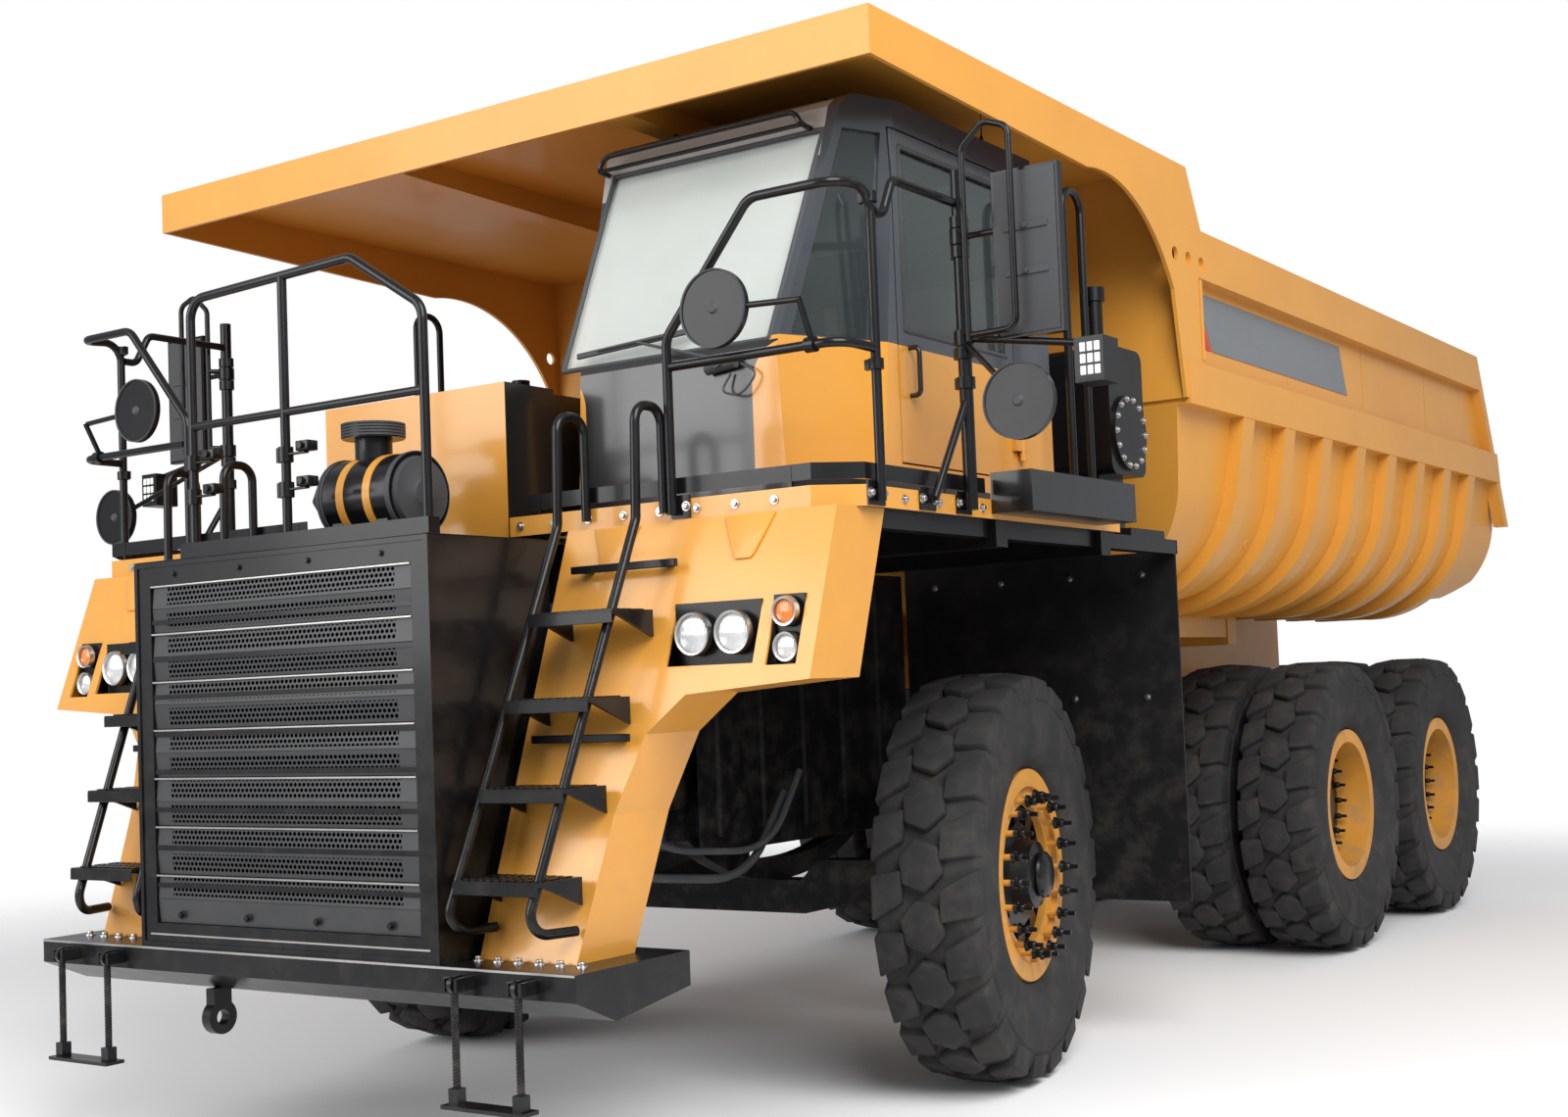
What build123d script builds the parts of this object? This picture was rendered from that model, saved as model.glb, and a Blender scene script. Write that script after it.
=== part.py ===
from build123d import *
import math
import os

# Mining dump truck, wide rigid six-wheeler with a canopy dump body.
# Millimetres. +X is the truck's left, -Y is its front, +Z is up.
# The origin is on the ground under the middle of the overall length.

# Seats between pieces that only rest against each other
seat_gap = 0.3

# Axle lines and wheels
front_axle_y = -2530
mid_axle_y = 1998
rear_axle_y = 4086
tyre_radius = 937.5
tyre_width = 500
lug_count = 14
lug_depth = 42
lug_slot = 62
lug_length = 230
lug_middle = 200
lug_slant = 24
rim_radius = 484
rim_width = 380
rim_wall = 16
seat_radius = 419
front_wheel_x = 1610
dual_outer_x = 1660
dual_spacing = 572
parked_steer = 9.0
kingpin_x = 1235
kingpin_radius = 45
kingpin_clearance = 0.05
hub_radius = 190
bearing_radius = 75
bearing_clearance = 0.05

# Chassis frame
rail_x = 430
rail_width = 110
rail_bottom_z = 1300
rail_top_z = 1830
rail_front_y = -4750
rail_rear_y = 4980
cross_radius = 90
hinge_y = 4760
hinge_z = 1760
hinge_pin_radius = 55
hinge_clearance = 0.05

# Front bumper and hanging steps
bumper_half = 1506
bumper_front_y = -5320
bumper_depth = 650
bumper_top_z = 880
bumper_face_height = 97
bumper_bottom_z = 690
bumper_wall = 12
hang_step_x = 1140
hang_spacing = 305
hang_pivot_z = 830
hang_tread_z = 410
hang_offset = 60
hang_rod_radius = 12
hang_pin_radius = 16

# Radiator housing and grille
grille_half = 850
grille_front_y = -5310
grille_rear_y = -4640
grille_bottom_z = bumper_top_z + seat_gap
grille_top_z = 2459
housing_wall = 20
grille_frame = 75
grille_bar_count = 9
grille_depth = 45

# Deck
deck_top_z = 2580
deck_thick = 80
deck_front_y = -4540
deck_outer_x = 2190
deck_inner_x = 560
deck_rear_y = -2160
deck_chamfer = 150
step_out_x = 2380
step_y = (-3420, -2400)
step_z = (2520, 2690)
tube_radius = 19
tube_bend = 90

# Cab
cab_inner_x = 460
cab_outer_x = 1900
cab_front_y = -4200
cab_brow_y = -3830
cab_rear_y = -2230
cab_belt_z = 3240
cab_roof_z = 4270
cab_wall = 45
cab_corner = 230
door_front_y = -3630
door_rear_y = -2590
door_bottom_z = 2740
door_top_z = 4150
door_gap = 8
glass_thick = 8
glass_inset = 18

# Dump body
body_half = 2127
canopy_front_y = -4130
canopy_lip = 196
canopy_plate = 20
top_rail_z = 4167
canopy_rise = 310
canopy_top_z = top_rail_z + canopy_rise
body_front_y = -880
body_rear_y = 4732
tail_y = 5400
tail_z = 2885
body_wall = 40
body_floor_z = 2330
belly_half = 1500
knee_z = 2740
knee_x = 2050
rail_low_z = 3222
rail_high_z = 3446
rail_out_x = 2135
rib_count = 8
rib_first_y = -240
rib_pitch = 660
rib_width = 170
rib_depth = 75
bolster_x = 430
bolster_width = 130

# Hoist
hoist_y = -1380
hoist_base_z = 1400
hoist_top_z = 2900
hoist_outer_radius = 150
hoist_wall = 14
hoist_running = 0.05
hoist_stages = 4
hoist_pin_radius = 40

os.makedirs("parts", exist_ok=True)
nodes = []


def save(piece, name):
    # Every finished piece is labelled and written as its own file.
    piece.part.label = name
    export_step(piece.part, "parts/" + name + ".step")
    nodes.append(name)


def block(x, y, z, mode=Mode.ADD):
    # A block from its low and high places along each axis.
    middle = ((x[0] + x[1]) / 2, (y[0] + y[1]) / 2, (z[0] + z[1]) / 2)
    with Locations(middle):
        Box(x[1] - x[0], y[1] - y[0], z[1] - z[0], mode=mode)


def rod(start, end, radius, mode=Mode.ADD):
    # A round bar between two points.
    a = Vector(*start)
    along = Vector(*end) - a
    with BuildSketch(Plane(origin=a, z_dir=along)) as disc:
        Circle(radius)
    extrude(disc.sketch, amount=along.length, mode=mode)


def tube(points, radius=tube_radius, bend=tube_bend):
    # A bent handrail tube through its corner points.
    with BuildLine() as run:
        FilletPolyline(*points, radius=bend)
    with BuildSketch(Plane(origin=run.line @ 0, z_dir=run.line % 0)) as disc:
        Circle(radius)
    sweep(disc.sketch, path=run.line)


def prism(points, x0, x1, mode=Mode.ADD):
    # A side profile given as (y, z) corners, carried from x0 to x1.
    with BuildSketch(Plane.YZ.offset(x0)) as side:
        with BuildLine():
            Polyline(*points, close=True)
        make_face()
    extrude(side.sketch, amount=x1 - x0, mode=mode)


def front_prism(points, y0, y1, mode=Mode.ADD):
    # A front profile given as (x, z) corners, carried from y0 to y1.
    with BuildSketch(Plane.XZ.offset(-y0)) as face:
        with BuildLine():
            Polyline(*points, close=True)
        make_face()
    extrude(face.sketch, amount=y0 - y1, mode=mode)


def plan_prism(points, z0, z1, mode=Mode.ADD):
    # A plan given as (x, y) corners, carried from z0 to z1.
    with BuildSketch(Plane.XY.offset(z0)) as plan:
        with BuildLine():
            Polyline(*points, close=True)
        make_face()
    extrude(plan.sketch, amount=z1 - z0, mode=mode)


def mirrored(source):
    # The same piece on the truck's right.
    with BuildPart() as copy:
        mirror(source.part, about=Plane.YZ)
    return copy


def both_sides(source):
    # A left piece together with its mirror image on the right.
    with BuildPart() as pair:
        add(source.part)
        mirror(source.part, about=Plane.YZ)
    return pair


bogie_y = (mid_axle_y + rear_axle_y) / 2

# Chassis frame: two box rails, tube cross members and the body hinge ears
with BuildPart() as frame_rails:
    for side in (-1, 1):
        inner = side * (rail_x - rail_width / 2)
        outer = side * (rail_x + rail_width / 2)
        drop = rail_bottom_z - 340
        prism(
            [
                (rail_front_y, drop),
                (front_axle_y - 1350, drop),
                (front_axle_y - 1000, rail_bottom_z),
                (rail_rear_y - 300, rail_bottom_z),
                (rail_rear_y, rail_bottom_z + 180),
                (rail_rear_y, rail_top_z - 30),
                (front_axle_y - 1100, rail_top_z - 30),
                (front_axle_y - 1500, drop + 320),
                (rail_front_y, drop + 320),
            ],
            min(inner, outer),
            max(inner, outer),
        )
        block(
            (min(inner, outer), max(inner, outer)),
            (rail_front_y, rail_front_y + 60),
            (grille_bottom_z + housing_wall + seat_gap, drop + 5),
        )
    reach = rail_x
    for y in (-4655, -700, 900, bogie_y, rail_rear_y - 470):
        height = rail_bottom_z - 180 if y < front_axle_y - 900 else rail_bottom_z + 300
        rod((-reach, y, height), (reach, y, height), cross_radius)
    for side in (-1, 1):
        rod(
            (side * rail_x - rail_width / 2, hinge_y, hinge_z),
            (side * rail_x + rail_width / 2, hinge_y, hinge_z),
            hinge_pin_radius + 45,
        )
    rod((-700, hinge_y, hinge_z), (700, hinge_y, hinge_z), hinge_pin_radius, Mode.SUBTRACT)
    for side in (-1, 1):
        inner = side * (rail_x - rail_width / 2 + 1)
        cheek = side * (rail_x - rail_width / 2 - 36)
        block(
            (min(inner, cheek), max(inner, cheek)),
            (hoist_y - 90, hoist_y + 90),
            (hoist_base_z - 170, rail_bottom_z + 150),
        )
        prism(
            [
                (hoist_y - 70, hoist_base_z - 140),
                (hoist_y + 70, hoist_base_z - 140),
                (hoist_y + 60, hoist_base_z + 60),
                (hoist_y - 60, hoist_base_z + 60),
            ],
            side * 100 - 20,
            side * 100 + 20,
        )
    rod((-140, hoist_y, hoist_base_z), (140, hoist_y, hoist_base_z), hoist_pin_radius)
    reach = rail_x - rail_width / 2
    block((-reach, reach), (hoist_y - 90, hoist_y + 90), (hoist_base_z - 170, hoist_base_z - 130))
save(frame_rails, "frame_rails")

# Front bumper: a deep box with the hanging steps' pins in lugs on its face
hang_y = bumper_front_y - hang_offset
with BuildPart() as front_bumper:
    face_bottom = bumper_top_z - bumper_face_height
    low_y = bumper_front_y + 210
    back_y = bumper_front_y + bumper_depth
    prism(
        [
            (bumper_front_y, face_bottom),
            (bumper_front_y, bumper_top_z),
            (back_y, bumper_top_z),
            (back_y, bumper_bottom_z + 60),
            (low_y, bumper_bottom_z),
        ],
        -bumper_half,
        bumper_half,
    )
    prism(
        [
            (bumper_front_y + bumper_wall, face_bottom + bumper_wall),
            (bumper_front_y + bumper_wall, bumper_top_z - bumper_wall),
            (back_y, bumper_top_z - bumper_wall),
            (back_y, bumper_bottom_z + 60 + bumper_wall),
            (low_y, bumper_bottom_z + bumper_wall),
        ],
        -bumper_half + bumper_wall,
        bumper_half - bumper_wall,
        Mode.SUBTRACT,
    )

    for middle in (-hang_step_x, hang_step_x):
        for side in (-1, 1):
            x = middle + side * hang_spacing / 2
            rod((x - 34, hang_y, hang_pivot_z), (x + 34, hang_y, hang_pivot_z), hang_pin_radius)
            for edge in (-1, 1):
                at = x + edge * 29
                block(
                    (at - 7, at + 7),
                    (hang_y - 24, bumper_front_y + 5),
                    (hang_pivot_z - 24, hang_pivot_z + 24),
                )
save(front_bumper, "front_bumper")

# Towing hook: an eye plate welded under the bumper
hook_x = -620
hook_thick = 50
hook_pin_radius = 32
hook_drop = 120
with BuildPart() as tow_hook:
    with BuildSketch(Plane.YZ.offset(hook_x - hook_thick / 2)) as eye:
        with Locations((low_y, bumper_bottom_z - hook_drop)):
            Circle(hook_pin_radius + 38)
        with Locations((low_y, bumper_bottom_z - hook_drop / 2)):
            Rectangle(90, hook_drop)
    extrude(eye.sketch, amount=hook_thick)
    rod(
        (hook_x - 60, low_y, bumper_bottom_z - hook_drop),
        (hook_x + 60, low_y, bumper_bottom_z - hook_drop),
        hook_pin_radius,
        Mode.SUBTRACT,
    )
save(tow_hook, "tow_hook")

# Hanging steps: a tread carried by two straps from pins on the bumper

def hanging_step(middle):
    # One hanging step, with its two eyes round the bumper's pins.
    with BuildPart() as step:
        for side in (-1, 1):
            x = middle + side * hang_spacing / 2
            with BuildSketch(Plane.YZ.offset(x - 10)) as eye:
                with Locations((hang_y, hang_pivot_z)):
                    Circle(hang_pin_radius + 14)
            extrude(eye.sketch, amount=20)
            rod((x, hang_y, hang_pivot_z - 20), (x, hang_y, hang_tread_z + 10), hang_rod_radius)
            block((x - 22, x + 22), (hang_y - 22, hang_y + 22), (hang_tread_z, hang_tread_z + 55))
        half = hang_spacing / 2 + 40
        block((middle - half, middle + half), (hang_y - 45, hang_y + 45), (hang_tread_z - 14, hang_tread_z))
        rod(
            (middle - half, hang_y, hang_pivot_z),
            (middle + half, hang_y, hang_pivot_z),
            hang_pin_radius + hinge_clearance,
            Mode.SUBTRACT,
        )
    return step


save(hanging_step(hang_step_x), "hanging_step_left")
save(hanging_step(-hang_step_x), "hanging_step_right")

# Radiator housing: a box open at the front and back
with BuildPart() as grille_housing:
    prism(
        [
            (grille_front_y, grille_bottom_z),
            (grille_front_y, grille_top_z),
            (grille_rear_y, grille_top_z),
            (grille_rear_y, grille_bottom_z),
        ],
        -grille_half,
        grille_half,
    )
    block(
        (-grille_half + housing_wall, grille_half - housing_wall),
        (grille_front_y - 10, grille_rear_y + 10),
        (grille_bottom_z + housing_wall, grille_top_z - housing_wall),
        Mode.SUBTRACT,
    )
save(grille_housing, "grille_housing")

# Grille: a frame with cross bars, set into the front of the housing
with BuildPart() as grille:
    edge_x = grille_half - housing_wall - seat_gap
    low = grille_bottom_z + housing_wall + seat_gap
    high = grille_top_z - housing_wall - seat_gap
    front = grille_front_y + 6
    block((-edge_x, edge_x), (front, front + grille_depth), (low, high))
    block(
        (-edge_x + grille_frame, edge_x - grille_frame),
        (front - 5, front + grille_depth - 12),
        (low + grille_frame, high - grille_frame),
        Mode.SUBTRACT,
    )
    pitch = (high - low - 2 * grille_frame) / grille_bar_count
    for index in range(1, grille_bar_count):
        z = low + grille_frame + index * pitch
        block((-edge_x + 30, edge_x - 30), (front + 4, front + grille_depth - 6), (z - 9, z + 9))
save(grille, "grille")

# Radiator core behind the grille
core_front = grille_front_y + 90
core_rear = core_front + 240
with BuildPart() as radiator:
    block(
        (-grille_half + 120, grille_half - 120),
        (core_front, core_rear),
        (grille_bottom_z + housing_wall, grille_top_z - housing_wall),
    )
save(radiator, "radiator")

# Engine as one plain block, with the gearbox behind it
engine_front = grille_rear_y + 120
with BuildPart() as engine_block:
    block((-310, 310), (engine_front, engine_front + 1750), (rail_bottom_z - 200, rail_top_z + 420))
    block((-120, 120), (engine_front + 500, engine_front + 700), (rail_bottom_z - 260, rail_bottom_z - 190))
    for side in (-1, 1):
        for y in (engine_front + 120, engine_front + 1600):
            edge = side * (rail_x - rail_width / 2 - seat_gap)
            block(
                (min(side * 300, edge), max(side * 300, edge)),
                (y, y + 120),
                (rail_bottom_z + 60, rail_bottom_z + 160),
            )
save(engine_block, "engine_block")

with BuildPart() as gearbox:
    rear = engine_front + 1750
    rod((0, rear, 1420), (0, rear + 160, 1420), 290)
    rod((0, rear + 150, 1360), (0, rear + 900, 1360), 215)
    rod((0, rear + 700, 1180), (0, rear + 930, 1180), 90)

# Wheels. Each is revolved about its axle and modelled about its own middle.
tyre_seat_gap = seat_gap


def ring_section(points):
    # A closed half section given as (x, radius) corners, turned about the X axis.
    with BuildSketch(Plane.XZ) as half:
        with BuildLine():
            Polyline(*points, close=True)
        make_face()
    revolve(half.sketch, axis=Axis.X)


def tyre_section(middle):
    # One tyre at x = middle: beads between the rim flanges, bulged walls, sloped shoulders.
    bead = rim_width / 2 - rim_wall - tyre_seat_gap
    half_width = tyre_width / 2
    half = [
        (bead, seat_radius + tyre_seat_gap),
        (bead, rim_radius + 4),
        (half_width - 14, 580),
        (half_width, 690),
        (half_width - 10, tyre_radius - 105),
        (half_width - 35, tyre_radius - 22),
        (half_width - 100, tyre_radius),
    ]
    outward = [(middle - x, radius) for x, radius in half]
    inward = [(middle + x, radius) for x, radius in reversed(half)]
    ring_section(outward + inward)


def cut_lugs(middle):
    # Slanted slots across both shoulders leave the lugs standing, half a pitch apart.
    for side, turn in ((-1, 0.0), (1, 0.5)):
        with Locations(Plane.YZ.offset(middle + side * lug_middle)):
            with PolarLocations(tyre_radius, lug_count, start_angle=turn * 360 / lug_count):
                Box(
                    2 * lug_depth,
                    lug_slot,
                    lug_length,
                    rotation=(side * lug_slant, 0, 0),
                    mode=Mode.SUBTRACT,
                )


def rim_section(middle):
    # One rim: a drum with a flange at each side.
    half = rim_width / 2
    ring_section(
        [
            (middle - half, seat_radius - rim_wall),
            (middle - half, rim_radius),
            (middle - half + rim_wall, rim_radius),
            (middle - half + rim_wall, seat_radius),
            (middle + half - rim_wall, seat_radius),
            (middle + half - rim_wall, rim_radius),
            (middle + half, rim_radius),
            (middle + half, seat_radius - rim_wall),
        ]
    )


def placed_wheel(source, side, axle_y, x, steer):
    # A wheel piece set on its axle line, turned about its kingpin where it is steered.
    with BuildPart() as copy:
        pivot = side * kingpin_x if steer else 0
        with Locations(Location((pivot, axle_y, tyre_radius), (0, 0, steer))):
            with Locations(Location((side * x - pivot, 0, 0), (0, 0, 0 if side > 0 else 180))):
                add(source.part)
    return copy


# Front wheel pieces about the wheel's middle, +X outwards
front_stud_count = 20
spoke_count = 10
spoke_window_radius = 278
spoke_window = 88
with BuildPart() as front_tyre:
    tyre_section(0)
    cut_lugs(0)

with BuildPart() as front_rim:
    rim_section(0)
    ring_section(
        [
            (rim_width / 2 - 60, seat_radius - rim_wall - 78),
            (rim_width / 2 - 60, seat_radius - rim_wall + 2),
            (rim_width / 2 - 24, seat_radius - rim_wall + 2),
            (rim_width / 2 - 24, seat_radius - rim_wall - 78),
        ]
    )
    with Locations(Plane.YZ.offset(rim_width / 2 - 30)):
        with PolarLocations(seat_radius - rim_wall - 42, front_stud_count):
            Cylinder(14, 70, align=(Align.CENTER, Align.CENTER, Align.MIN))

hub_reach = kingpin_x + 190 - front_wheel_x
with BuildPart() as front_hub:
    ring_section(
        [
            (hub_reach, bearing_radius + bearing_clearance),
            (hub_reach, hub_radius + 40),
            (-40, hub_radius + 40),
            (rim_width / 2 - 95, seat_radius - rim_wall - 12),
            (rim_width / 2 - 60 - seat_gap, seat_radius - rim_wall - 12),
            (rim_width / 2 - 60 - seat_gap, seat_radius - rim_wall - 90),
            (rim_width / 2 - 50, hub_radius - 20),
            (rim_width / 2 + 30, hub_radius - 40),
            (rim_width / 2 + 60, 60),
            (rim_width / 2 + 60, 0),
            (rim_width / 2 + 20, 0),
            (rim_width / 2 + 20, bearing_radius + bearing_clearance),
        ]
    )

    with Locations(Plane.YZ.offset(rim_width / 2 - 60)):
        with PolarLocations(spoke_window_radius, spoke_count):
            Box(spoke_window, spoke_window, 500, mode=Mode.SUBTRACT)

# Rear dual wheel pieces about the outer wheel's middle, +X outwards
disc_x = -dual_spacing / 2 + 40
rear_stud_count = 20
with BuildPart() as rear_tyres:
    tyre_section(0)
    tyre_section(-dual_spacing)
    cut_lugs(0)
    cut_lugs(-dual_spacing)

inner_face = -dual_spacing - rim_width / 2
with BuildPart() as rear_rims:
    rim_section(0)
    rim_section(-dual_spacing)
    ring_section(
        [
            (-dual_spacing + rim_width / 2 - 1, seat_radius - rim_wall),
            (-dual_spacing + rim_width / 2 - 1, seat_radius),
            (-rim_width / 2 + 1, seat_radius),
            (-rim_width / 2 + 1, seat_radius - rim_wall),
        ]
    )
    ring_section(
        [
            (disc_x - 40, seat_radius - rim_wall + 1),
            (disc_x, seat_radius - rim_wall + 1),
            (disc_x, hub_radius + 60),
            (disc_x + 90, hub_radius + 40),
            (disc_x + 110, 0),
            (disc_x + 60, 0),
            (disc_x + 60, bearing_radius + bearing_clearance),
            (inner_face + 60, bearing_radius + bearing_clearance),
            (inner_face + 60, hub_radius + 50),
            (disc_x - 40, hub_radius + 50),
        ]
    )
    with Locations(Plane.YZ.offset(disc_x - 2)):
        with PolarLocations((seat_radius - rim_wall + hub_radius + 60) / 2, rear_stud_count):
            Cylinder(15, 62, align=(Align.CENTER, Align.CENTER, Align.MIN))

for side, word in ((1, "left"), (-1, "right")):
    save(placed_wheel(front_tyre, side, front_axle_y, front_wheel_x, parked_steer), "tyre_front_" + word)
    save(placed_wheel(front_rim, side, front_axle_y, front_wheel_x, parked_steer), "rim_front_" + word)
    save(placed_wheel(front_hub, side, front_axle_y, front_wheel_x, parked_steer), "hub_front_" + word)
    for axle_y, line in ((mid_axle_y, "mid"), (rear_axle_y, "rear")):
        save(placed_wheel(rear_tyres, side, axle_y, dual_outer_x, 0), "tyres_" + line + "_" + word)
        save(placed_wheel(rear_rims, side, axle_y, dual_outer_x, 0), "rims_" + line + "_" + word)

# Front axle: a dropped beam with a kingpin eye at each end
beam_half_depth = 70
eye_radius = 85
eye_half = 88
with BuildPart() as front_axle:
    front_prism(
        [
            (-kingpin_x, tyre_radius - 70),
            (-kingpin_x, tyre_radius + 70),
            (-720, tyre_radius + 60),
            (-620, tyre_radius - 40),
            (620, tyre_radius - 40),
            (720, tyre_radius + 60),
            (kingpin_x, tyre_radius + 70),
            (kingpin_x, tyre_radius - 70),
            (640, tyre_radius - 200),
            (-640, tyre_radius - 200),
        ],
        front_axle_y - beam_half_depth,
        front_axle_y + beam_half_depth,
    )
    for side in (-1, 1):
        x = side * kingpin_x
        rod(
            (x, front_axle_y, tyre_radius - eye_half),
            (x, front_axle_y, tyre_radius + eye_half),
            eye_radius,
        )
    for side in (-1, 1):
        x = side * kingpin_x
        rod(
            (x, front_axle_y, tyre_radius - eye_half - 5),
            (x, front_axle_y, tyre_radius + eye_half + 5),
            kingpin_radius + kingpin_clearance,
            Mode.SUBTRACT,
        )
save(front_axle, "front_axle")

# Knuckle about its kingpin at axle height: fork, kingpin, spindle and steering arm
fork_gap = 6
fork_thick = 55
arm_reach = 330
tie_pin_radius = 22
tie_clearance = 0.05
with BuildPart() as knuckle:
    low = -eye_half - fork_gap
    high = eye_half + fork_gap
    rod((0, 0, low - fork_thick), (0, 0, high + fork_thick), kingpin_radius)
    for z in (low - fork_thick, high):
        rod((0, 0, z), (0, 0, z + fork_thick), eye_radius)
        block((0, eye_radius + 55), (-eye_radius, eye_radius), (z, z + fork_thick))
    block((eye_radius + 10, eye_radius + 60), (-eye_radius, eye_radius), (low - 10, high + 10))
    spindle_end = front_wheel_x - kingpin_x + rim_width / 2 + 10
    rod((eye_radius + 50, 0, 0), (eye_radius + 95, 0, 0), bearing_radius + 30)
    rod((eye_radius + 50, 0, 0), (spindle_end, 0, 0), bearing_radius)
    block((-45, 45), (0, arm_reach), (low - fork_thick, low - 5))
    rod((0, arm_reach, low - fork_thick), (0, arm_reach, low - 5), 62)
    rod((0, arm_reach, low - fork_thick - 70), (0, arm_reach, low - fork_thick + 5), tie_pin_radius)


def placed_knuckle(source, side):
    # The knuckle on its kingpin, at the parked steering angle.
    with BuildPart() as copy:
        with Locations(Location((side * kingpin_x, front_axle_y, tyre_radius), (0, 0, parked_steer))):
            add(source.part)
    return copy


save(placed_knuckle(knuckle, 1), "knuckle_left")
save(placed_knuckle(mirrored(knuckle), -1), "knuckle_right")

# Tie rod between the two steering arms
turn = math.radians(parked_steer)
tie_y = front_axle_y + arm_reach * math.cos(turn)
tie_shift = -arm_reach * math.sin(turn)
tie_top = tyre_radius + low - fork_thick - 6
tie_bottom = tie_top - 56
with BuildPart() as tie_rod:
    rod(
        (tie_shift - kingpin_x, tie_y, (tie_top + tie_bottom) / 2),
        (tie_shift + kingpin_x, tie_y, (tie_top + tie_bottom) / 2),
        24,
    )
    for side in (-1, 1):
        x = tie_shift + side * kingpin_x
        rod((x, tie_y, tie_bottom), (x, tie_y, tie_top), 44)
    for side in (-1, 1):
        x = tie_shift + side * kingpin_x
        fit = tie_clearance if side > 0 else 1.0
        rod((x, tie_y, tie_bottom - 5), (x, tie_y, tie_top + 5), tie_pin_radius + fit, Mode.SUBTRACT)
save(tie_rod, "tie_rod")

# Front leaf springs, one under each rail, seated on the axle beam
spring_half = 50
spring_seat_z = tyre_radius + 5 + seat_gap
with BuildPart() as front_springs:
    for side in (-1, 1):
        with BuildSketch(Plane.YZ.offset(side * rail_x - spring_half)) as leaf:
            with BuildLine():
                top = ThreePointArc(
                    (front_axle_y - 800, rail_bottom_z - 90),
                    (front_axle_y, spring_seat_z + 60),
                    (front_axle_y + 800, rail_bottom_z - 90),
                )
                Line(top @ 1, (front_axle_y + 800, rail_bottom_z - 140))
                low_arc = ThreePointArc(
                    (front_axle_y + 800, rail_bottom_z - 140),
                    (front_axle_y, spring_seat_z - 45),
                    (front_axle_y - 800, rail_bottom_z - 140),
                )
                Line(low_arc @ 1, top @ 0)
            make_face()
        extrude(leaf.sketch, amount=2 * spring_half)
        for y in (front_axle_y - 765, front_axle_y + 765):
            block(
                (side * rail_x - spring_half, side * rail_x + spring_half),
                (y - 45, y + 45),
                (rail_bottom_z - 150, rail_bottom_z - seat_gap),
            )

# Rear axles: a round middle housing, tubes and the spindles for the dual wheels
axle_tube_radius = 115
banjo_radius = 290
spindle_reach = dual_outer_x + disc_x + 50
tube_reach = dual_outer_x + inner_face + 50


def rear_axle(axle_y):
    # One driven axle, with its final drive bulge and nose.
    with BuildPart() as axle:
        rod((-tube_reach, axle_y, tyre_radius), (tube_reach, axle_y, tyre_radius), axle_tube_radius)
        rod((-spindle_reach, axle_y, tyre_radius), (spindle_reach, axle_y, tyre_radius), bearing_radius)
        with Locations((0, axle_y, tyre_radius)):
            Sphere(banjo_radius)
        rod((0, axle_y - 430, tyre_radius), (0, axle_y, tyre_radius), 130)
    return axle


with BuildPart() as rear_axles:
    add(rear_axle(mid_axle_y).part)
    add(rear_axle(rear_axle_y).part)
save(rear_axles, "rear_axles")

# Walking-beam springs between the two rear axles, one each side
beam_x = 620
with BuildPart() as bogie_springs:
    for side in (-1, 1):
        x = side * beam_x
        prism(
            [
                (mid_axle_y - 90, tyre_radius + axle_tube_radius + seat_gap),
                (mid_axle_y - 90, tyre_radius + axle_tube_radius + 90),
                (bogie_y - 260, tyre_radius + 330),
                (bogie_y + 260, tyre_radius + 330),
                (rear_axle_y + 90, tyre_radius + axle_tube_radius + 90),
                (rear_axle_y + 90, tyre_radius + axle_tube_radius + seat_gap),
                (rear_axle_y - 90, tyre_radius + axle_tube_radius + seat_gap),
                (bogie_y + 300, tyre_radius + 170),
                (bogie_y - 300, tyre_radius + 170),
                (mid_axle_y + 90, tyre_radius + axle_tube_radius + seat_gap),
            ],
            x - 60,
            x + 60,
        )
    rod((-beam_x, bogie_y, tyre_radius + 240), (beam_x, bogie_y, tyre_radius + 240), 70)
    for side in (-1, 1):
        x = side * rail_x
        block(
            (x - 50, x + 50),
            (bogie_y - 150, bogie_y + 150),
            (tyre_radius + 200, rail_bottom_z - seat_gap),
        )
with BuildPart() as springs:
    add(front_springs.part)
    add(bogie_springs.part)
save(springs, "springs")

# Drive shafts from the gearbox to the axles
with BuildPart() as drive_shafts:
    gearbox_rear = engine_front + 1750 + 920
    nose_y = mid_axle_y - 430
    shaft_lean = math.atan2(1180 - tyre_radius, nose_y - gearbox_rear)
    rod((0, gearbox_rear, 1180), (0, nose_y - seat_gap - 55 * math.sin(shaft_lean), tyre_radius), 55)
    rod(
        (0, mid_axle_y + banjo_radius + seat_gap, tyre_radius),
        (0, rear_axle_y - 430 - seat_gap, tyre_radius),
        65,
    )
with BuildPart() as driveline:
    add(gearbox.part)
    add(drive_shafts.part)
save(driveline, "driveline")

# Stair panels and fenders: a folded sheet that leans back from the bumper to the deck
panel_foot_y = -5130
panel_top_y = deck_front_y - 10
panel_depth = 330
panel_wall = 12
panel_in_x = 880
panel_foot_out_x = 1350
fender_low_z = 1870
lamp_x = (1505, 1900)
lamp_z = (1935, 2170)
signal_x = (1955, 2090)
signal_z = (1925, 2180)


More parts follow.
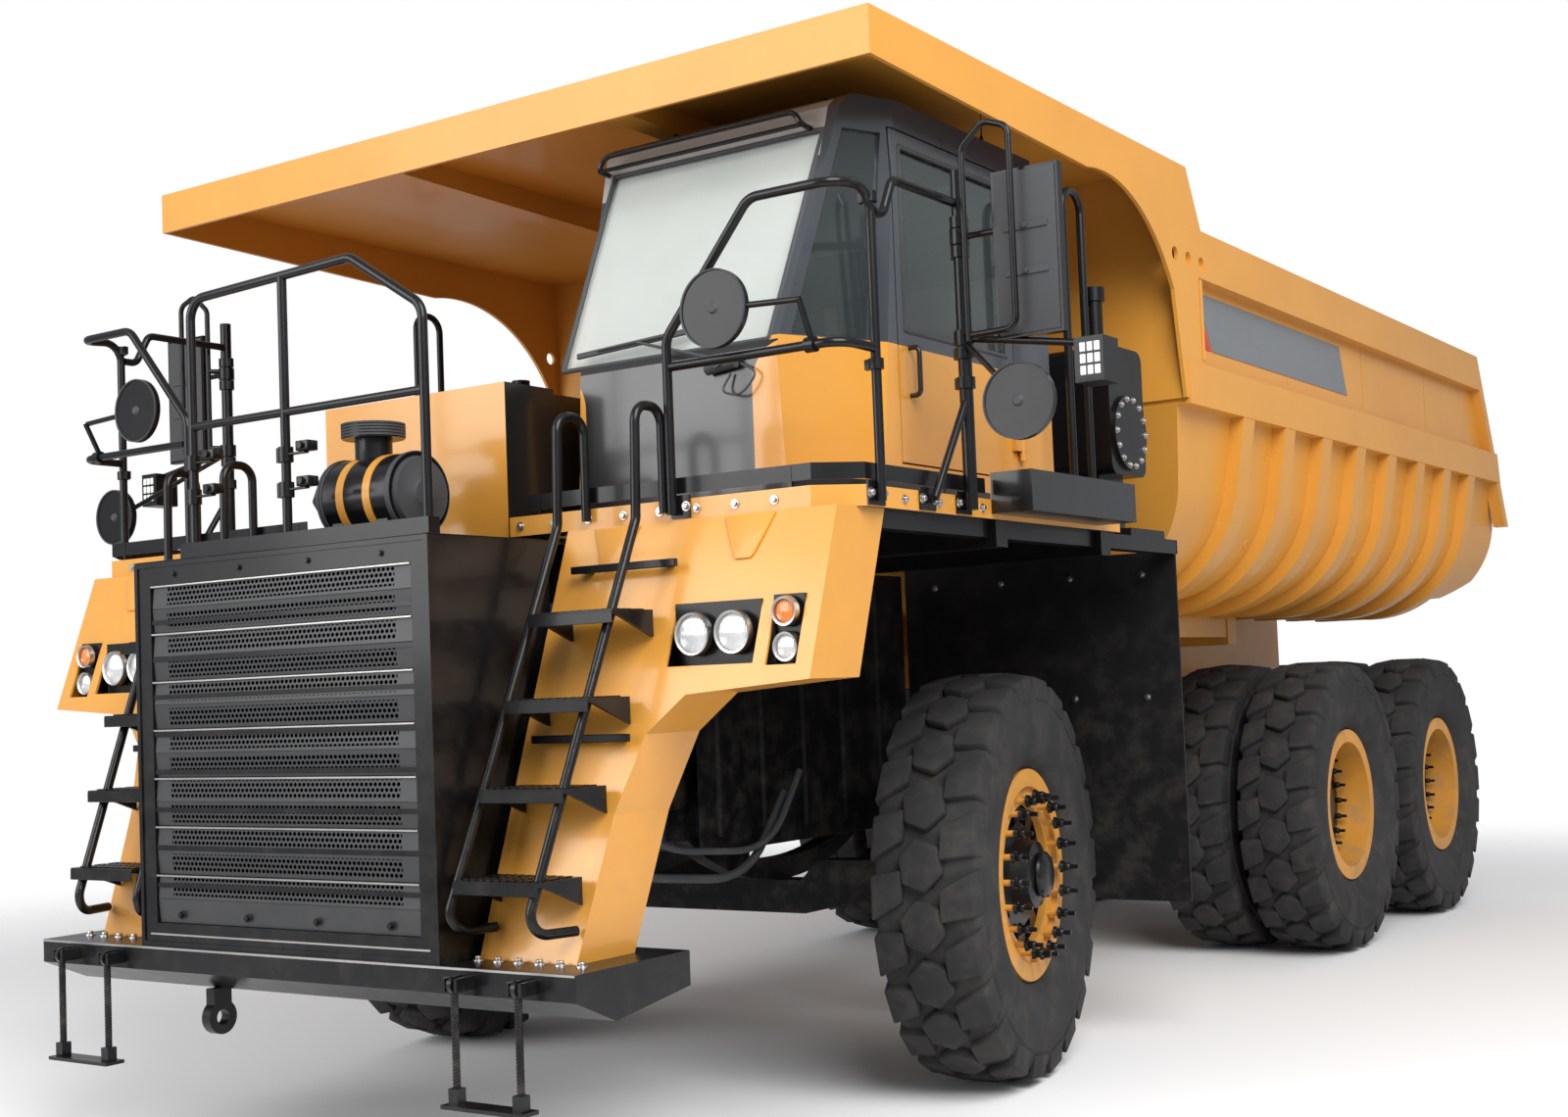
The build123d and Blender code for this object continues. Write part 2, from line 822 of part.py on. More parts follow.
def panel_form(inset):
    # The panel's outer form, or its inside when inset is the sheet's thickness.
    foot = bumper_top_z + seat_gap
    top = deck_top_z - deck_thick - seat_gap
    with BuildPart() as form:
        with BuildSketch(Plane.XZ.offset(-(panel_foot_y - 200))) as face:
            with BuildLine():
                Polyline(
                    (panel_in_x, foot),
                    (panel_foot_out_x, foot),
                    (panel_foot_out_x + 40, 1400),
                    (panel_foot_out_x + 120, 1690),
                    (panel_foot_out_x + 270, 1830),
                    (deck_outer_x - 30, fender_low_z),
                    (deck_outer_x - 30, top),
                    (panel_in_x, top),
                    close=True,
                )
            make_face()
            if inset:
                offset(amount=-inset, kind=Kind.INTERSECTION)
        extrude(face.sketch, amount=-1600)
        prism(
            [
                (panel_foot_y + inset, foot),
                (panel_foot_y + panel_depth + inset, foot),
                (panel_top_y + panel_depth + inset, top),
                (panel_top_y + inset, top),
            ],
            panel_in_x - 100,
            deck_outer_x + 100,
            Mode.INTERSECT,
        )
    return form


panel_inside = panel_form(panel_wall)
with BuildPart() as fender:
    add(panel_form(0).part)
    add(panel_inside.part, mode=Mode.SUBTRACT)
    block(lamp_x, (panel_foot_y - 50, panel_top_y + 200), lamp_z, Mode.SUBTRACT)
    block(signal_x, (panel_foot_y - 50, panel_top_y + 200), signal_z, Mode.SUBTRACT)
save(both_sides(fender), "fenders")

# Lamps: a square housing with round lenses, set in the fender's openings
lamp_face_y = panel_top_y - 130
tail_lamp = 110
tail_lamp_z = 1640
with BuildPart() as lamps:
    block(
        (lamp_x[0] + seat_gap, lamp_x[1] - seat_gap),
        (lamp_face_y, lamp_face_y + 150),
        (lamp_z[0] + seat_gap, lamp_z[1] - seat_gap),
    )
    middle_z = (lamp_z[0] + lamp_z[1]) / 2
    for at in (0.27, 0.73):
        x = lamp_x[0] + at * (lamp_x[1] - lamp_x[0])
        rod((x, lamp_face_y - 30, middle_z), (x, lamp_face_y, middle_z), 82)
    block(
        (signal_x[0] + seat_gap, signal_x[1] - seat_gap),
        (lamp_face_y, lamp_face_y + 150),
        (signal_z[0] + seat_gap, signal_z[1] - seat_gap),
    )
    x = (signal_x[0] + signal_x[1]) / 2
    for at in (0.25, 0.75):
        z = signal_z[0] + at * (signal_z[1] - signal_z[0])
        rod((x, lamp_face_y - 24, z), (x, lamp_face_y, z), 52)
    block(
        (rail_x - tail_lamp / 2, rail_x + tail_lamp / 2),
        (rail_rear_y + seat_gap, rail_rear_y + 60),
        (tail_lamp_z - tail_lamp / 2, tail_lamp_z + tail_lamp / 2),
    )
    rod(
        (rail_x, rail_rear_y + 55, tail_lamp_z),
        (rail_x, rail_rear_y + 75, tail_lamp_z),
        tail_lamp / 2 - 12,
    )
save(both_sides(lamps), "lamps")

# Stairs: four treads bolted to the panel between two long bent handrails
tread_depth = 240
tread_count = 4
tread_first_z = 1180
tread_pitch = 322
lean = (panel_top_y - panel_foot_y) / (deck_top_z - deck_thick - bumper_top_z)


def panel_y(z):
    # The panel's front face at height z.
    return panel_foot_y + (z - bumper_top_z) * lean


with BuildPart() as stairs:
    for index in range(tread_count):
        z = tread_first_z + index * tread_pitch
        back = panel_y(z - 110) - seat_gap
        shift = 32 * index
        x0 = grille_half + 70 + shift
        x1 = grille_half + 480 + shift
        block((x0, x1), (back - tread_depth, back), (z - 8, z + 8))
        for x in (x0 + 8, x1 - 8):
            prism([(back - tread_depth, z), (back, z - 95), (back, z)], x - 8, x + 8)
    for x, top_z in ((grille_half + 40, 2940), (grille_half + 430, 2940)):
        tube(
            [
                (x + 60, panel_y(1000) - tube_radius - 6, 1000),
                (x, panel_y(1000) - tread_depth, 1000),
                (x + 90, panel_y(2500) - tread_depth + 60, 2500),
                (x + 95, panel_y(2500) - tread_depth + 70, top_z),
                (x + 95, deck_front_y - tube_radius - seat_gap, top_z),
                (x + 95, deck_front_y - tube_radius - seat_gap, deck_top_z - 50),
            ],
            tube_radius,
            70,
        )
save(both_sides(stairs), "stairs")

# Decks: a plate edged by a deep beam, with a clipped front corner
with BuildPart() as deck:
    outline = [
        (deck_inner_x, deck_front_y),
        (deck_outer_x - deck_chamfer, deck_front_y),
        (deck_outer_x, deck_front_y + deck_chamfer),
        (deck_outer_x, deck_rear_y),
        (deck_inner_x, deck_rear_y),
    ]
    plan_prism(outline, deck_top_z - deck_thick, deck_top_z)
    block(
        (deck_inner_x + 70, deck_outer_x - 70),
        (deck_front_y + deck_chamfer, deck_rear_y - 70),
        (deck_top_z - deck_thick - 10, deck_top_z - 12),
        Mode.SUBTRACT,
    )
with BuildPart() as door_step:
    block((deck_outer_x - 1, step_out_x), step_y, step_z)
    block(
        (deck_outer_x + 8, step_out_x - 8),
        (step_y[0] + 8, step_y[1] - 8),
        (step_z[0] + 10, step_z[1] + 5),
        Mode.SUBTRACT,
    )
with BuildPart() as decks:
    add(both_sides(deck).part)
    add(door_step.part)
save(decks, "decks")

# Deck supports: black box beams across the frame and along under the deck's side
flap_y = -1385
flap_inner_x = 560
support_z = deck_top_z - deck_thick - seat_gap
with BuildPart() as deck_supports:
    for y in (-3300, deck_rear_y - 120):
        block((-deck_outer_x + 20, deck_outer_x - 20), (y - 50, y + 50), (support_z - 110, support_z))
        for side in (-1, 1):
            x = side * rail_x
            block((x - 45, x + 45), (y - 45, y + 45), (rail_top_z - 30 + seat_gap, support_z - 105))
    for side in (-1, 1):
        x = side * (deck_outer_x - 90)
        block((x - 40, x + 40), (panel_top_y + panel_depth + 5, flap_y), (support_z - 70, support_z))
save(deck_supports, "deck_supports")

# Mud flaps behind the front wheels, hung from the deck supports' rear ends
with BuildPart() as mud_flaps:
    for side in (-1, 1):
        inner = side * flap_inner_x
        outer = side * (deck_outer_x - 60)
        block(
            (min(inner, outer), max(inner, outer)),
            (flap_y + seat_gap, flap_y + 16),
            (700, support_z - 50),
        )
        front_prism(
            [
                (side * (deck_outer_x - 130), support_z - 70),
                (side * (deck_outer_x - 50), support_z - 70),
                (side * (deck_outer_x - 50), support_z),
                (side * (deck_outer_x - 130), support_z),
            ],
            flap_y + 0.3,
            flap_y + 16,
        )
save(mud_flaps, "mud_flaps")

# Guard rails along the left deck's front corner and up to the mirror post
post_x = deck_outer_x + tube_radius + 8
post_front_y = deck_front_y - tube_radius - 8
mirror_post_radius = 28
mirror_post_x = deck_outer_x + mirror_post_radius + 10
rail_top = 3700
rail_mid = 3090
mirror_post_y = front_axle_y - 1130


def foot_plate(x, y, along_x):
    # A bolted plate that joins a post to the deck's edge.
    if along_x:
        block(
            (x - 20, x + 70),
            (deck_front_y - 8, deck_front_y - seat_gap),
            (deck_top_z - 75, deck_top_z + 15),
        )
        block((x - 13, x + 11), (y + 5, deck_front_y - 4), (deck_top_z - 48, deck_top_z - 12))
    else:
        block(
            (deck_outer_x + seat_gap, deck_outer_x + 8),
            (y - 60, y + 60),
            (deck_top_z - 75, deck_top_z + 15),
        )
        block((deck_outer_x + 4, x - 5), (y - 13, y + 11), (deck_top_z - 48, deck_top_z - 12))


with BuildPart() as guard_rail:
    corner_y = deck_front_y + deck_chamfer + 60
    inner_post_x = 1420
    foot_plate(inner_post_x, post_front_y, True)
    foot_plate(post_x, corner_y, False)
    foot_plate(mirror_post_x, mirror_post_y, False)
    foot_plate(mirror_post_x, mirror_post_y - 290, False)
    rod(
        (mirror_post_x, mirror_post_y, deck_top_z - 60),
        (mirror_post_x, mirror_post_y, 3890),
        mirror_post_radius,
    )
    rod((mirror_post_x, mirror_post_y - 290, deck_top_z - 30), (mirror_post_x, mirror_post_y, 2970), 16)
    tube(
        [
            (inner_post_x, post_front_y, deck_top_z - 60),
            (inner_post_x, post_front_y, 3200),
            (1830, post_front_y, rail_top - 20),
            (post_x, post_front_y, rail_top - 20),
            (post_x, corner_y, rail_top),
            (post_x, corner_y, deck_top_z - 60),
        ],
    )
    tube(
        [
            (inner_post_x + tube_radius + seat_gap, post_front_y, rail_mid),
            (post_x, post_front_y, rail_mid),
            (post_x, corner_y - tube_radius - seat_gap, rail_mid),
        ],
        tube_radius - 1,
    )
    tube(
        [
            (post_x, corner_y + tube_radius + seat_gap, rail_top - 90),
            (post_x, corner_y + 90, rail_top - 90),
            (post_x, corner_y + 170, rail_top + 60),
            (post_x, mirror_post_y - mirror_post_radius - seat_gap, rail_top + 60),
        ],
        tube_radius - 1,
        50,
    )

# Mirrors: a tall plate on the post, a round one ahead of it and a round one low down
mirror_out = 2680
with BuildPart() as mirrors:
    y = mirror_post_y
    x = mirror_post_x
    clamp = mirror_post_radius + seat_gap
    rod((x, y, 3180), (x, y, 3240), clamp + 12)
    rod((x, y, 3590), (x, y, 3650), clamp + 12)
    rod((x, y, 3210), (mirror_out + 100, y, 3120), 15)
    rod((x, y, 3620), (mirror_out - 250, y, 3620), 13)
    block((mirror_out - 290, mirror_out), (y - 20, y + 20), (3180, 3850))
    block((mirror_out + 60, mirror_out + 180), (y - 70, y + 70), (2960, 3135))
    loop_y = y - 70
    rod((x, y, 3225), (x + 60, loop_y, 3225), 13)
    rod((x, y, 3635), (x + 60, loop_y, 3635), 13)
    tube(
        [
            (x + 60, loop_y, 3180),
            (x + 60, loop_y, 3960),
            (2390, loop_y, 4050),
            (2500, loop_y, 4010),
            (2500, loop_y, 3210),
            (x + 75, loop_y, 3205),
        ],
        13,
        50,
    )
    rod((x, y, 3200), (mirror_out - 20, y - 380, 2870), 12)
    rod((mirror_out - 20, y - 400, 2870), (mirror_out - 20, y - 370, 2870), 145)
    rod((x, y, 3100), (x, y, 3850), clamp, Mode.SUBTRACT)

# Front round mirrors on arms from the guard rail's corner
front_mirror_x = 1700
with BuildPart() as front_mirror:
    y = post_front_y - 60
    z = 3270
    rod((front_mirror_x, y - 12, z), (front_mirror_x, y + 12, z), 150)
    rod((front_mirror_x, y, z), (post_x - 130, y, z - 20), 12)
    rod((post_x - 130, y - 12, z - 20), (post_x - 130, post_front_y, rail_mid + tube_radius + 6), 12)
    rod((post_x - 150, post_front_y, rail_mid), (post_x - 110, post_front_y, rail_mid), tube_radius + 10)
    rod(
        (post_x - 160, post_front_y, rail_mid),
        (post_x - 100, post_front_y, rail_mid),
        tube_radius - 1 + seat_gap,
        Mode.SUBTRACT,
    )
with BuildPart() as all_mirrors:
    for source in (mirrors, front_mirror):
        add(source.part)
        mirror(source.part, about=Plane.YZ)
save(all_mirrors, "mirrors")

# Rail over the radiator housing
crown_y = grille_front_y + 70
rear_rail_x = 2080
rear_rail_y = -2390
rear_rail_top = 4100
with BuildPart() as grille_rail:
    base = grille_top_z + seat_gap
    block((-600, 820), (crown_y - 30, crown_y + 30), (base, base + 70))
    tube(
        [
            (-540, crown_y, base + 60),
            (-540, crown_y, 3540),
            (410, crown_y, 3570),
            (790, crown_y, 3330),
            (790, crown_y, base + 60),
        ],
    )
    rod((20, crown_y, base + 60), (20, crown_y, 3550), tube_radius)
    rod((-540, crown_y, 3010), (790, crown_y, 3010), tube_radius - 2)
with BuildPart() as rear_rail:
    low = deck_top_z + seat_gap
    tube(
        [
            (rear_rail_x, rear_rail_y, low),
            (rear_rail_x, rear_rail_y, rear_rail_top),
            (rear_rail_x, rear_rail_y + 190, rear_rail_top),
            (rear_rail_x, rear_rail_y + 190, low),
        ],
    )
with BuildPart() as guard_rails:
    add(guard_rail.part)
    mirror(guard_rail.part, about=Plane.YZ)
    add(grille_rail.part)
    add(rear_rail.part)
    mirror(rear_rail.part, about=Plane.YZ)
save(guard_rails, "guard_rails")

# Engine hood between the decks
hood_top_z = 3150
hood_half = 535
hood_wall = 20
hood_front_y = deck_front_y + 20
hood_rear_y = -2800
with BuildPart() as hood_box:
    low = support_z + seat_gap
    block((-hood_half, cab_inner_x - 15), (hood_front_y, hood_rear_y), (low, hood_top_z))
    block((-hood_half, hood_half), (hood_front_y, cab_front_y - 15), (low, hood_top_z))
    wall = hood_wall
    block(
        (wall - hood_half, cab_inner_x - 15 - wall),
        (hood_front_y + wall, hood_rear_y - wall),
        (low - 5, hood_top_z - wall),
        Mode.SUBTRACT,
    )
    block(
        (wall - hood_half, hood_half - wall),
        (hood_front_y + wall, cab_front_y - 15 - wall),
        (low - 5, hood_top_z - wall),
        Mode.SUBTRACT,
    )
save(hood_box, "hood_box")

# Air cleaner on the housing: a drum held by a saddle, with a cap on top
drum_y = -4930
drum_radius = 165
drum_z = grille_top_z + drum_radius + 45
with BuildPart() as air_cleaner:
    rod((30, drum_y, drum_z), (440, drum_y, drum_z), drum_radius)
    rod((190, drum_y, drum_z), (190, drum_y, drum_z + 260), 75)
    rod((190, drum_y, drum_z + 240), (190, drum_y, drum_z + 300), 125)
    for x in (110, 360):
        block((x - 30, x + 30), (drum_y - 130, drum_y + 130), (grille_top_z + seat_gap, drum_z - 60))
save(air_cleaner, "air_cleaner")

# Cab
cab_base_z = deck_top_z + seat_gap
cab_middle_x = (cab_inner_x + cab_outer_x) / 2
facet_normal = (0.913, -0.406, 0.047)
facet_along = (0.406, 0.913, 0)
facet_origin = (cab_outer_x - cab_corner + 10, cab_front_y, cab_belt_z)
facet = Plane(origin=facet_origin, x_dir=facet_along, z_dir=facet_normal)
mirror_x = 2 * cab_middle_x


def across(plane):
    # The same plane on the cab's inner side.
    o = plane.origin
    n = plane.z_dir
    d = plane.x_dir
    return Plane(origin=(mirror_x - o.X, o.Y, o.Z), x_dir=(-d.X, d.Y, d.Z), z_dir=(-n.X, n.Y, n.Z))


def cab_form(inset):
    # The cab's outer form, or its inside when inset is the wall.
    with BuildPart() as form:
        with BuildSketch(Plane.YZ.offset(cab_inner_x + inset)) as side:
            with BuildLine():
                Polyline(
                    (cab_front_y, cab_base_z),
                    (cab_front_y, cab_belt_z - 50),
                    (cab_brow_y, cab_roof_z - 50),
                    (cab_brow_y + 60, cab_roof_z),
                    (cab_rear_y - 110, cab_roof_z),
                    (cab_rear_y, cab_belt_z + 500),
                    (cab_rear_y, cab_base_z),
                    close=True,
                )
            make_face()
            if inset:
                offset(amount=-inset, kind=Kind.INTERSECTION)
        extrude(side.sketch, amount=cab_outer_x - cab_inner_x - 2 * inset)
        split(bisect_by=facet.offset(-inset), keep=Keep.BOTTOM)
        split(bisect_by=across(facet).offset(-inset), keep=Keep.BOTTOM)
    return form


quarter_points = [(75, 0), (455, 0), (575, 880), (385, 880)]
inner_quarter_points = [(x, -y) for x, y in quarter_points]
quarters = ((facet, quarter_points), (across(facet), inner_quarter_points))
shield_points = [
    (cab_inner_x + 110, cab_belt_z - 20),
    (cab_outer_x - 260, cab_belt_z - 20),
    (cab_outer_x - 170, 4120),
    (cab_inner_x + 40 + 130, 4120),
]
side_points = [(-3560, 3320), (-2480, 3320), (-2480, 4080), (-3560, 4080)]
door_points = [
    (door_front_y, door_bottom_z),
    (door_rear_y, door_bottom_z),
    (door_rear_y, door_top_z),
    (door_front_y, door_top_z),
]
door_window = [
    (door_front_y + 70, 3300),
    (door_rear_y - 70, 3300),
    (door_rear_y - 70, 4080),
    (door_front_y + 70, 4080),
]
rear_points = [
    (cab_inner_x + 200, 3320),
    (cab_outer_x - 200, 3320),
    (cab_outer_x - 200, 4040),
    (cab_inner_x + 200, 4040),
]


def pane(points, inset):
    # A window outline, drawn in by inset.
    with BuildSketch() as outline:
        with BuildLine():
            Polyline(*points, close=True)
        make_face()
        if inset:
            offset(amount=-inset, kind=Kind.INTERSECTION)
    return outline.sketch


def through(points, plane, depth, inset=0.0, mode=Mode.ADD):
    # A window outline placed on a plane and carried through the wall.
    extrude(plane * pane(points, inset), amount=depth, mode=mode)


front_plane = Plane(origin=(0, cab_front_y - 100, 0), x_dir=(1, 0, 0), z_dir=(0, -1, 0))
rear_plane = Plane(origin=(0, cab_rear_y, 0), x_dir=(1, 0, 0), z_dir=(0, -1, 0))
hinge_x = cab_outer_x + 16
hinge_line_y = door_rear_y + 14
pin_r = 9
cab_inside = cab_form(cab_wall)
with BuildPart() as cab_shell:
    add(cab_form(0).part)
    add(cab_inside.part, mode=Mode.SUBTRACT)
    through(shield_points, front_plane, -800, 0, Mode.SUBTRACT)
    for plane, points in quarters:
        through(points, plane.offset(10), -cab_wall - 30, 0, Mode.SUBTRACT)
    through(door_points, Plane.YZ.offset(cab_outer_x + 5), -cab_wall - 10, 0, Mode.SUBTRACT)
    through(side_points, Plane.YZ.offset(cab_inner_x - 5), cab_wall + 10, 0, Mode.SUBTRACT)
    through(rear_points, rear_plane.offset(-5), cab_wall + 10, 0, Mode.SUBTRACT)
    for z in (2900, 3700):
        for low in (z - 70, z + 30):
            rod((hinge_x, hinge_line_y, low), (hinge_x, hinge_line_y, low + 40), 16)
            block((cab_outer_x - 2, hinge_x), (hinge_line_y + 2, hinge_line_y + 16), (low, low + 40))
        rod((hinge_x, hinge_line_y, z - 50), (hinge_x, hinge_line_y, z + 50), pin_r)
save(cab_shell, "cab_shell")

with BuildPart() as cab_door:
    through(door_points, Plane.YZ.offset(cab_outer_x), -cab_wall, door_gap)
    through(door_window, Plane.YZ.offset(cab_outer_x + 5), -cab_wall - 10, 0, Mode.SUBTRACT)
    for z in (2900, 3700):
        rod((hinge_x, hinge_line_y, z - 29), (hinge_x, hinge_line_y, z + 29), 16)
        block((cab_outer_x + 2, hinge_x + 8), (hinge_line_y - 70, hinge_line_y - 4), (z - 29, z + 29))
        block(
            (cab_outer_x - 1, cab_outer_x + 4),
            (hinge_line_y - 70, door_rear_y - door_gap - 1),
            (z - 29, z + 29),
        )
    for z in (2900, 3700):
        rod(
            (hinge_x, hinge_line_y, z - 40),
            (hinge_x, hinge_line_y, z + 40),
            pin_r + hinge_clearance,
            Mode.SUBTRACT,
        )
    tube(
        [
            (cab_outer_x - 2, door_front_y + 90, 3030),
            (cab_outer_x + 50, door_front_y + 90, 3030),
            (cab_outer_x + 50, door_front_y + 90, 3230),
            (cab_outer_x - 2, door_front_y + 90, 3230),
        ],
        11,
        24,
    )
save(cab_door, "cab_door")

with BuildPart() as door_glass:
    through(door_window, Plane.YZ.offset(cab_outer_x - glass_inset), -glass_thick, seat_gap)
save(door_glass, "door_glass")

shield_lean = math.atan2(cab_brow_y - cab_front_y, cab_roof_z - cab_belt_z)
with BuildPart() as cab_glass:
    through(shield_points, front_plane, -800, seat_gap)
    slope = Plane(
        origin=(0, cab_front_y, cab_belt_z - 50),
        x_dir=(1, 0, 0),
        z_dir=(0, -math.cos(shield_lean), math.sin(shield_lean)),
    )
    split(bisect_by=slope.offset(-glass_inset), keep=Keep.BOTTOM)
    split(bisect_by=slope.offset(-glass_inset - glass_thick), keep=Keep.TOP)
    for plane, points in quarters:
        through(points, plane.offset(-glass_inset), -glass_thick, seat_gap)
    through(side_points, Plane.YZ.offset(cab_inner_x + glass_inset), glass_thick, seat_gap)
    through(rear_points, rear_plane.offset(glass_inset), glass_thick, seat_gap)
save(cab_glass, "cab_glass")

# Inside the cab: seat, dash and steering wheel
floor_z = cab_base_z + cab_wall
seat_y = -2950
with BuildPart() as seat_base:
    block(
        (cab_middle_x - 170, cab_middle_x + 170),
        (seat_y - 170, seat_y + 170),
        (floor_z + seat_gap, floor_z + 300),
    )
with BuildPart() as seat:
    block(
        (cab_middle_x - 250, cab_middle_x + 250),
        (seat_y - 260, seat_y + 240),
        (floor_z + 300.3, floor_z + 430),
    )
    block(
        (cab_middle_x - 240, cab_middle_x + 240),
        (seat_y + 150, seat_y + 280),
        (floor_z + 400, floor_z + 1030),
    )
save(seat, "seat")
with BuildPart() as dashboard:
    prism(
        [
            (cab_front_y + cab_wall + seat_gap, floor_z + seat_gap),
            (cab_front_y + cab_wall + seat_gap, cab_belt_z - 60),
            (cab_front_y + cab_wall + 280, cab_belt_z - 60),
            (cab_front_y + cab_wall + 400, cab_belt_z - 200),
            (cab_front_y + cab_wall + 200, floor_z + seat_gap),
        ],
        cab_inner_x + 260,
        cab_outer_x - 260,
    )
wheel_y = -3480
wheel_z = 3330
with BuildPart() as steering_wheel:
    rim_place = (cab_middle_x + 215, wheel_y, wheel_z)
    with BuildSketch(Plane(origin=rim_place, x_dir=(1, 0, 0), z_dir=(0, -0.87, 0.5))):
        Circle(17)
    revolve(axis=Axis((cab_middle_x, wheel_y, wheel_z), (0, 0.5, 0.87)))
    rod((cab_middle_x, wheel_y, wheel_z), (cab_middle_x, wheel_y - 340, wheel_z - 380), 32)
    rod((cab_middle_x - 205, wheel_y, wheel_z), (cab_middle_x + 205, wheel_y, wheel_z), 14)
with BuildPart() as cab_interior:
    add(seat_base.part)
    add(dashboard.part)
    add(steering_wheel.part)
save(cab_interior, "cab_interior")

# Tanks behind the decks, on brackets carried by the supports
tank_y = (-1900, -1500)
tank_z = (2810, 3440)
with BuildPart() as tank:
    block((1150, 2050), tank_y, tank_z)
    fillet(tank.edges().filter_by(Axis.X), 60)
    block((1250, 1950), (tank_y[0] + 60, tank_y[1] - 60), (support_z + seat_gap, tank_z[0] + 5))
    block((1150, deck_outer_x - 60), tank_y, (support_z + seat_gap, support_z + 40))
    rod((2040, sum(tank_y) / 2, 3020), (2068, sum(tank_y) / 2, 3020), 185)
    rod((1900, sum(tank_y) / 2, 3430), (1900, sum(tank_y) / 2, 3700), 42)
    rod((1900, sum(tank_y) / 2, 3690), (1900, sum(tank_y) / 2, 3760), 55)
save(both_sides(tank), "tanks")

# Dump body: a rounded tub with box rails and ribs, raked front corner and upswept tail
rail_panel_x = body_half - 70
top_rail_depth = 258
tail_rake = (tail_y - body_rear_y) / (top_rail_z - tail_z)
end_post_width = 110
underplate_x = 1070
canopy_hole_z = top_rail_z - 180
canopy_hole_radius = 38


def tub_section(grow):
    # The tub's outline seen from the front: flat belly, rolled chine, upright side.
    half = [
        (0, body_floor_z - 70 - grow),
        (belly_half - 260, body_floor_z - 70 - grow),
    ]
    with BuildSketch(Plane.XZ.offset(-(body_front_y - 600))) as section:
        with BuildLine():
            low = Line(half[0], half[1])
            chine = ThreePointArc(
                low @ 1,
                (belly_half + 260 + grow * 0.7, body_floor_z + 90 - grow * 0.7),
                (knee_x - 60 + grow, knee_z + 60),
            )
            wall = Line(chine @ 1, (rail_panel_x + grow, rail_low_z))
            upper = Line(wall @ 1, (rail_panel_x + grow, top_rail_z))
            Line(upper @ 1, (0, top_rail_z))
            Line((0, top_rail_z), low @ 0)
        make_face()
        mirror(about=Plane.YZ)
    return section.sketch


def tub_side(inset, lift):
    # The tub's outline seen from the side, used to cut the section's run to length.
    return [
        (body_front_y - 200 + inset, top_rail_z + lift),
        (body_front_y - 200 + inset, rail_low_z),
        (body_front_y + 20 + inset, 2480 + inset),
        (body_front_y + 220 + inset, 2200 + inset),
        (mid_axle_y, 2200 + inset),
        (tail_y - 300, 2340 + inset),
        (tail_y, 2470 + inset),
        (tail_y, tail_z),
        (body_rear_y, top_rail_z + lift),
    ]


run = tail_y - body_front_y + 700
with BuildPart() as tub_outer:
    extrude(tub_section(0), amount=-run)
    prism(tub_side(0, 0), -2500, 2500, Mode.INTERSECT)
with BuildPart() as tub_inner:
    extrude(tub_section(-body_wall), amount=-run)
    prism(
        [
            (body_front_y - 200 + body_wall, top_rail_z + 10),
            (body_front_y - 200 + body_wall, rail_low_z),
            (body_front_y + 60 + body_wall, 2500 + body_wall),
            (body_front_y + 260, 2250 + body_wall),
            (mid_axle_y, 2250 + body_wall),
            (tail_y + 20, 2530 + body_wall),
            (tail_y + 20, top_rail_z + 10),
        ],
        -2500,
        2500,
        Mode.INTERSECT,
    )
with BuildPart() as rib_band:
    extrude(tub_section(rib_depth), amount=-run)
    extrude(tub_section(-5), amount=-run, mode=Mode.SUBTRACT)
    prism(
        [
            (body_front_y - 300, 2000),
            (tail_y, 2000),
            (tail_y, rail_low_z + 20),
            (body_front_y - 300, rail_low_z + 20),
        ],
        -2500,
        2500,
        Mode.INTERSECT,
    )
    block((-900, 900), (body_front_y - 900, tail_y + 200), (1900, 2600), Mode.SUBTRACT)
with BuildPart() as ribs:
    for index in range(rib_count):
        y = rib_first_y + index * rib_pitch
        block((-2500, 2500), (y - rib_width / 2, y + rib_width / 2), (1900, 3600))
    add(rib_band.part, mode=Mode.INTERSECT)
cheek_y = hoist_y - 90
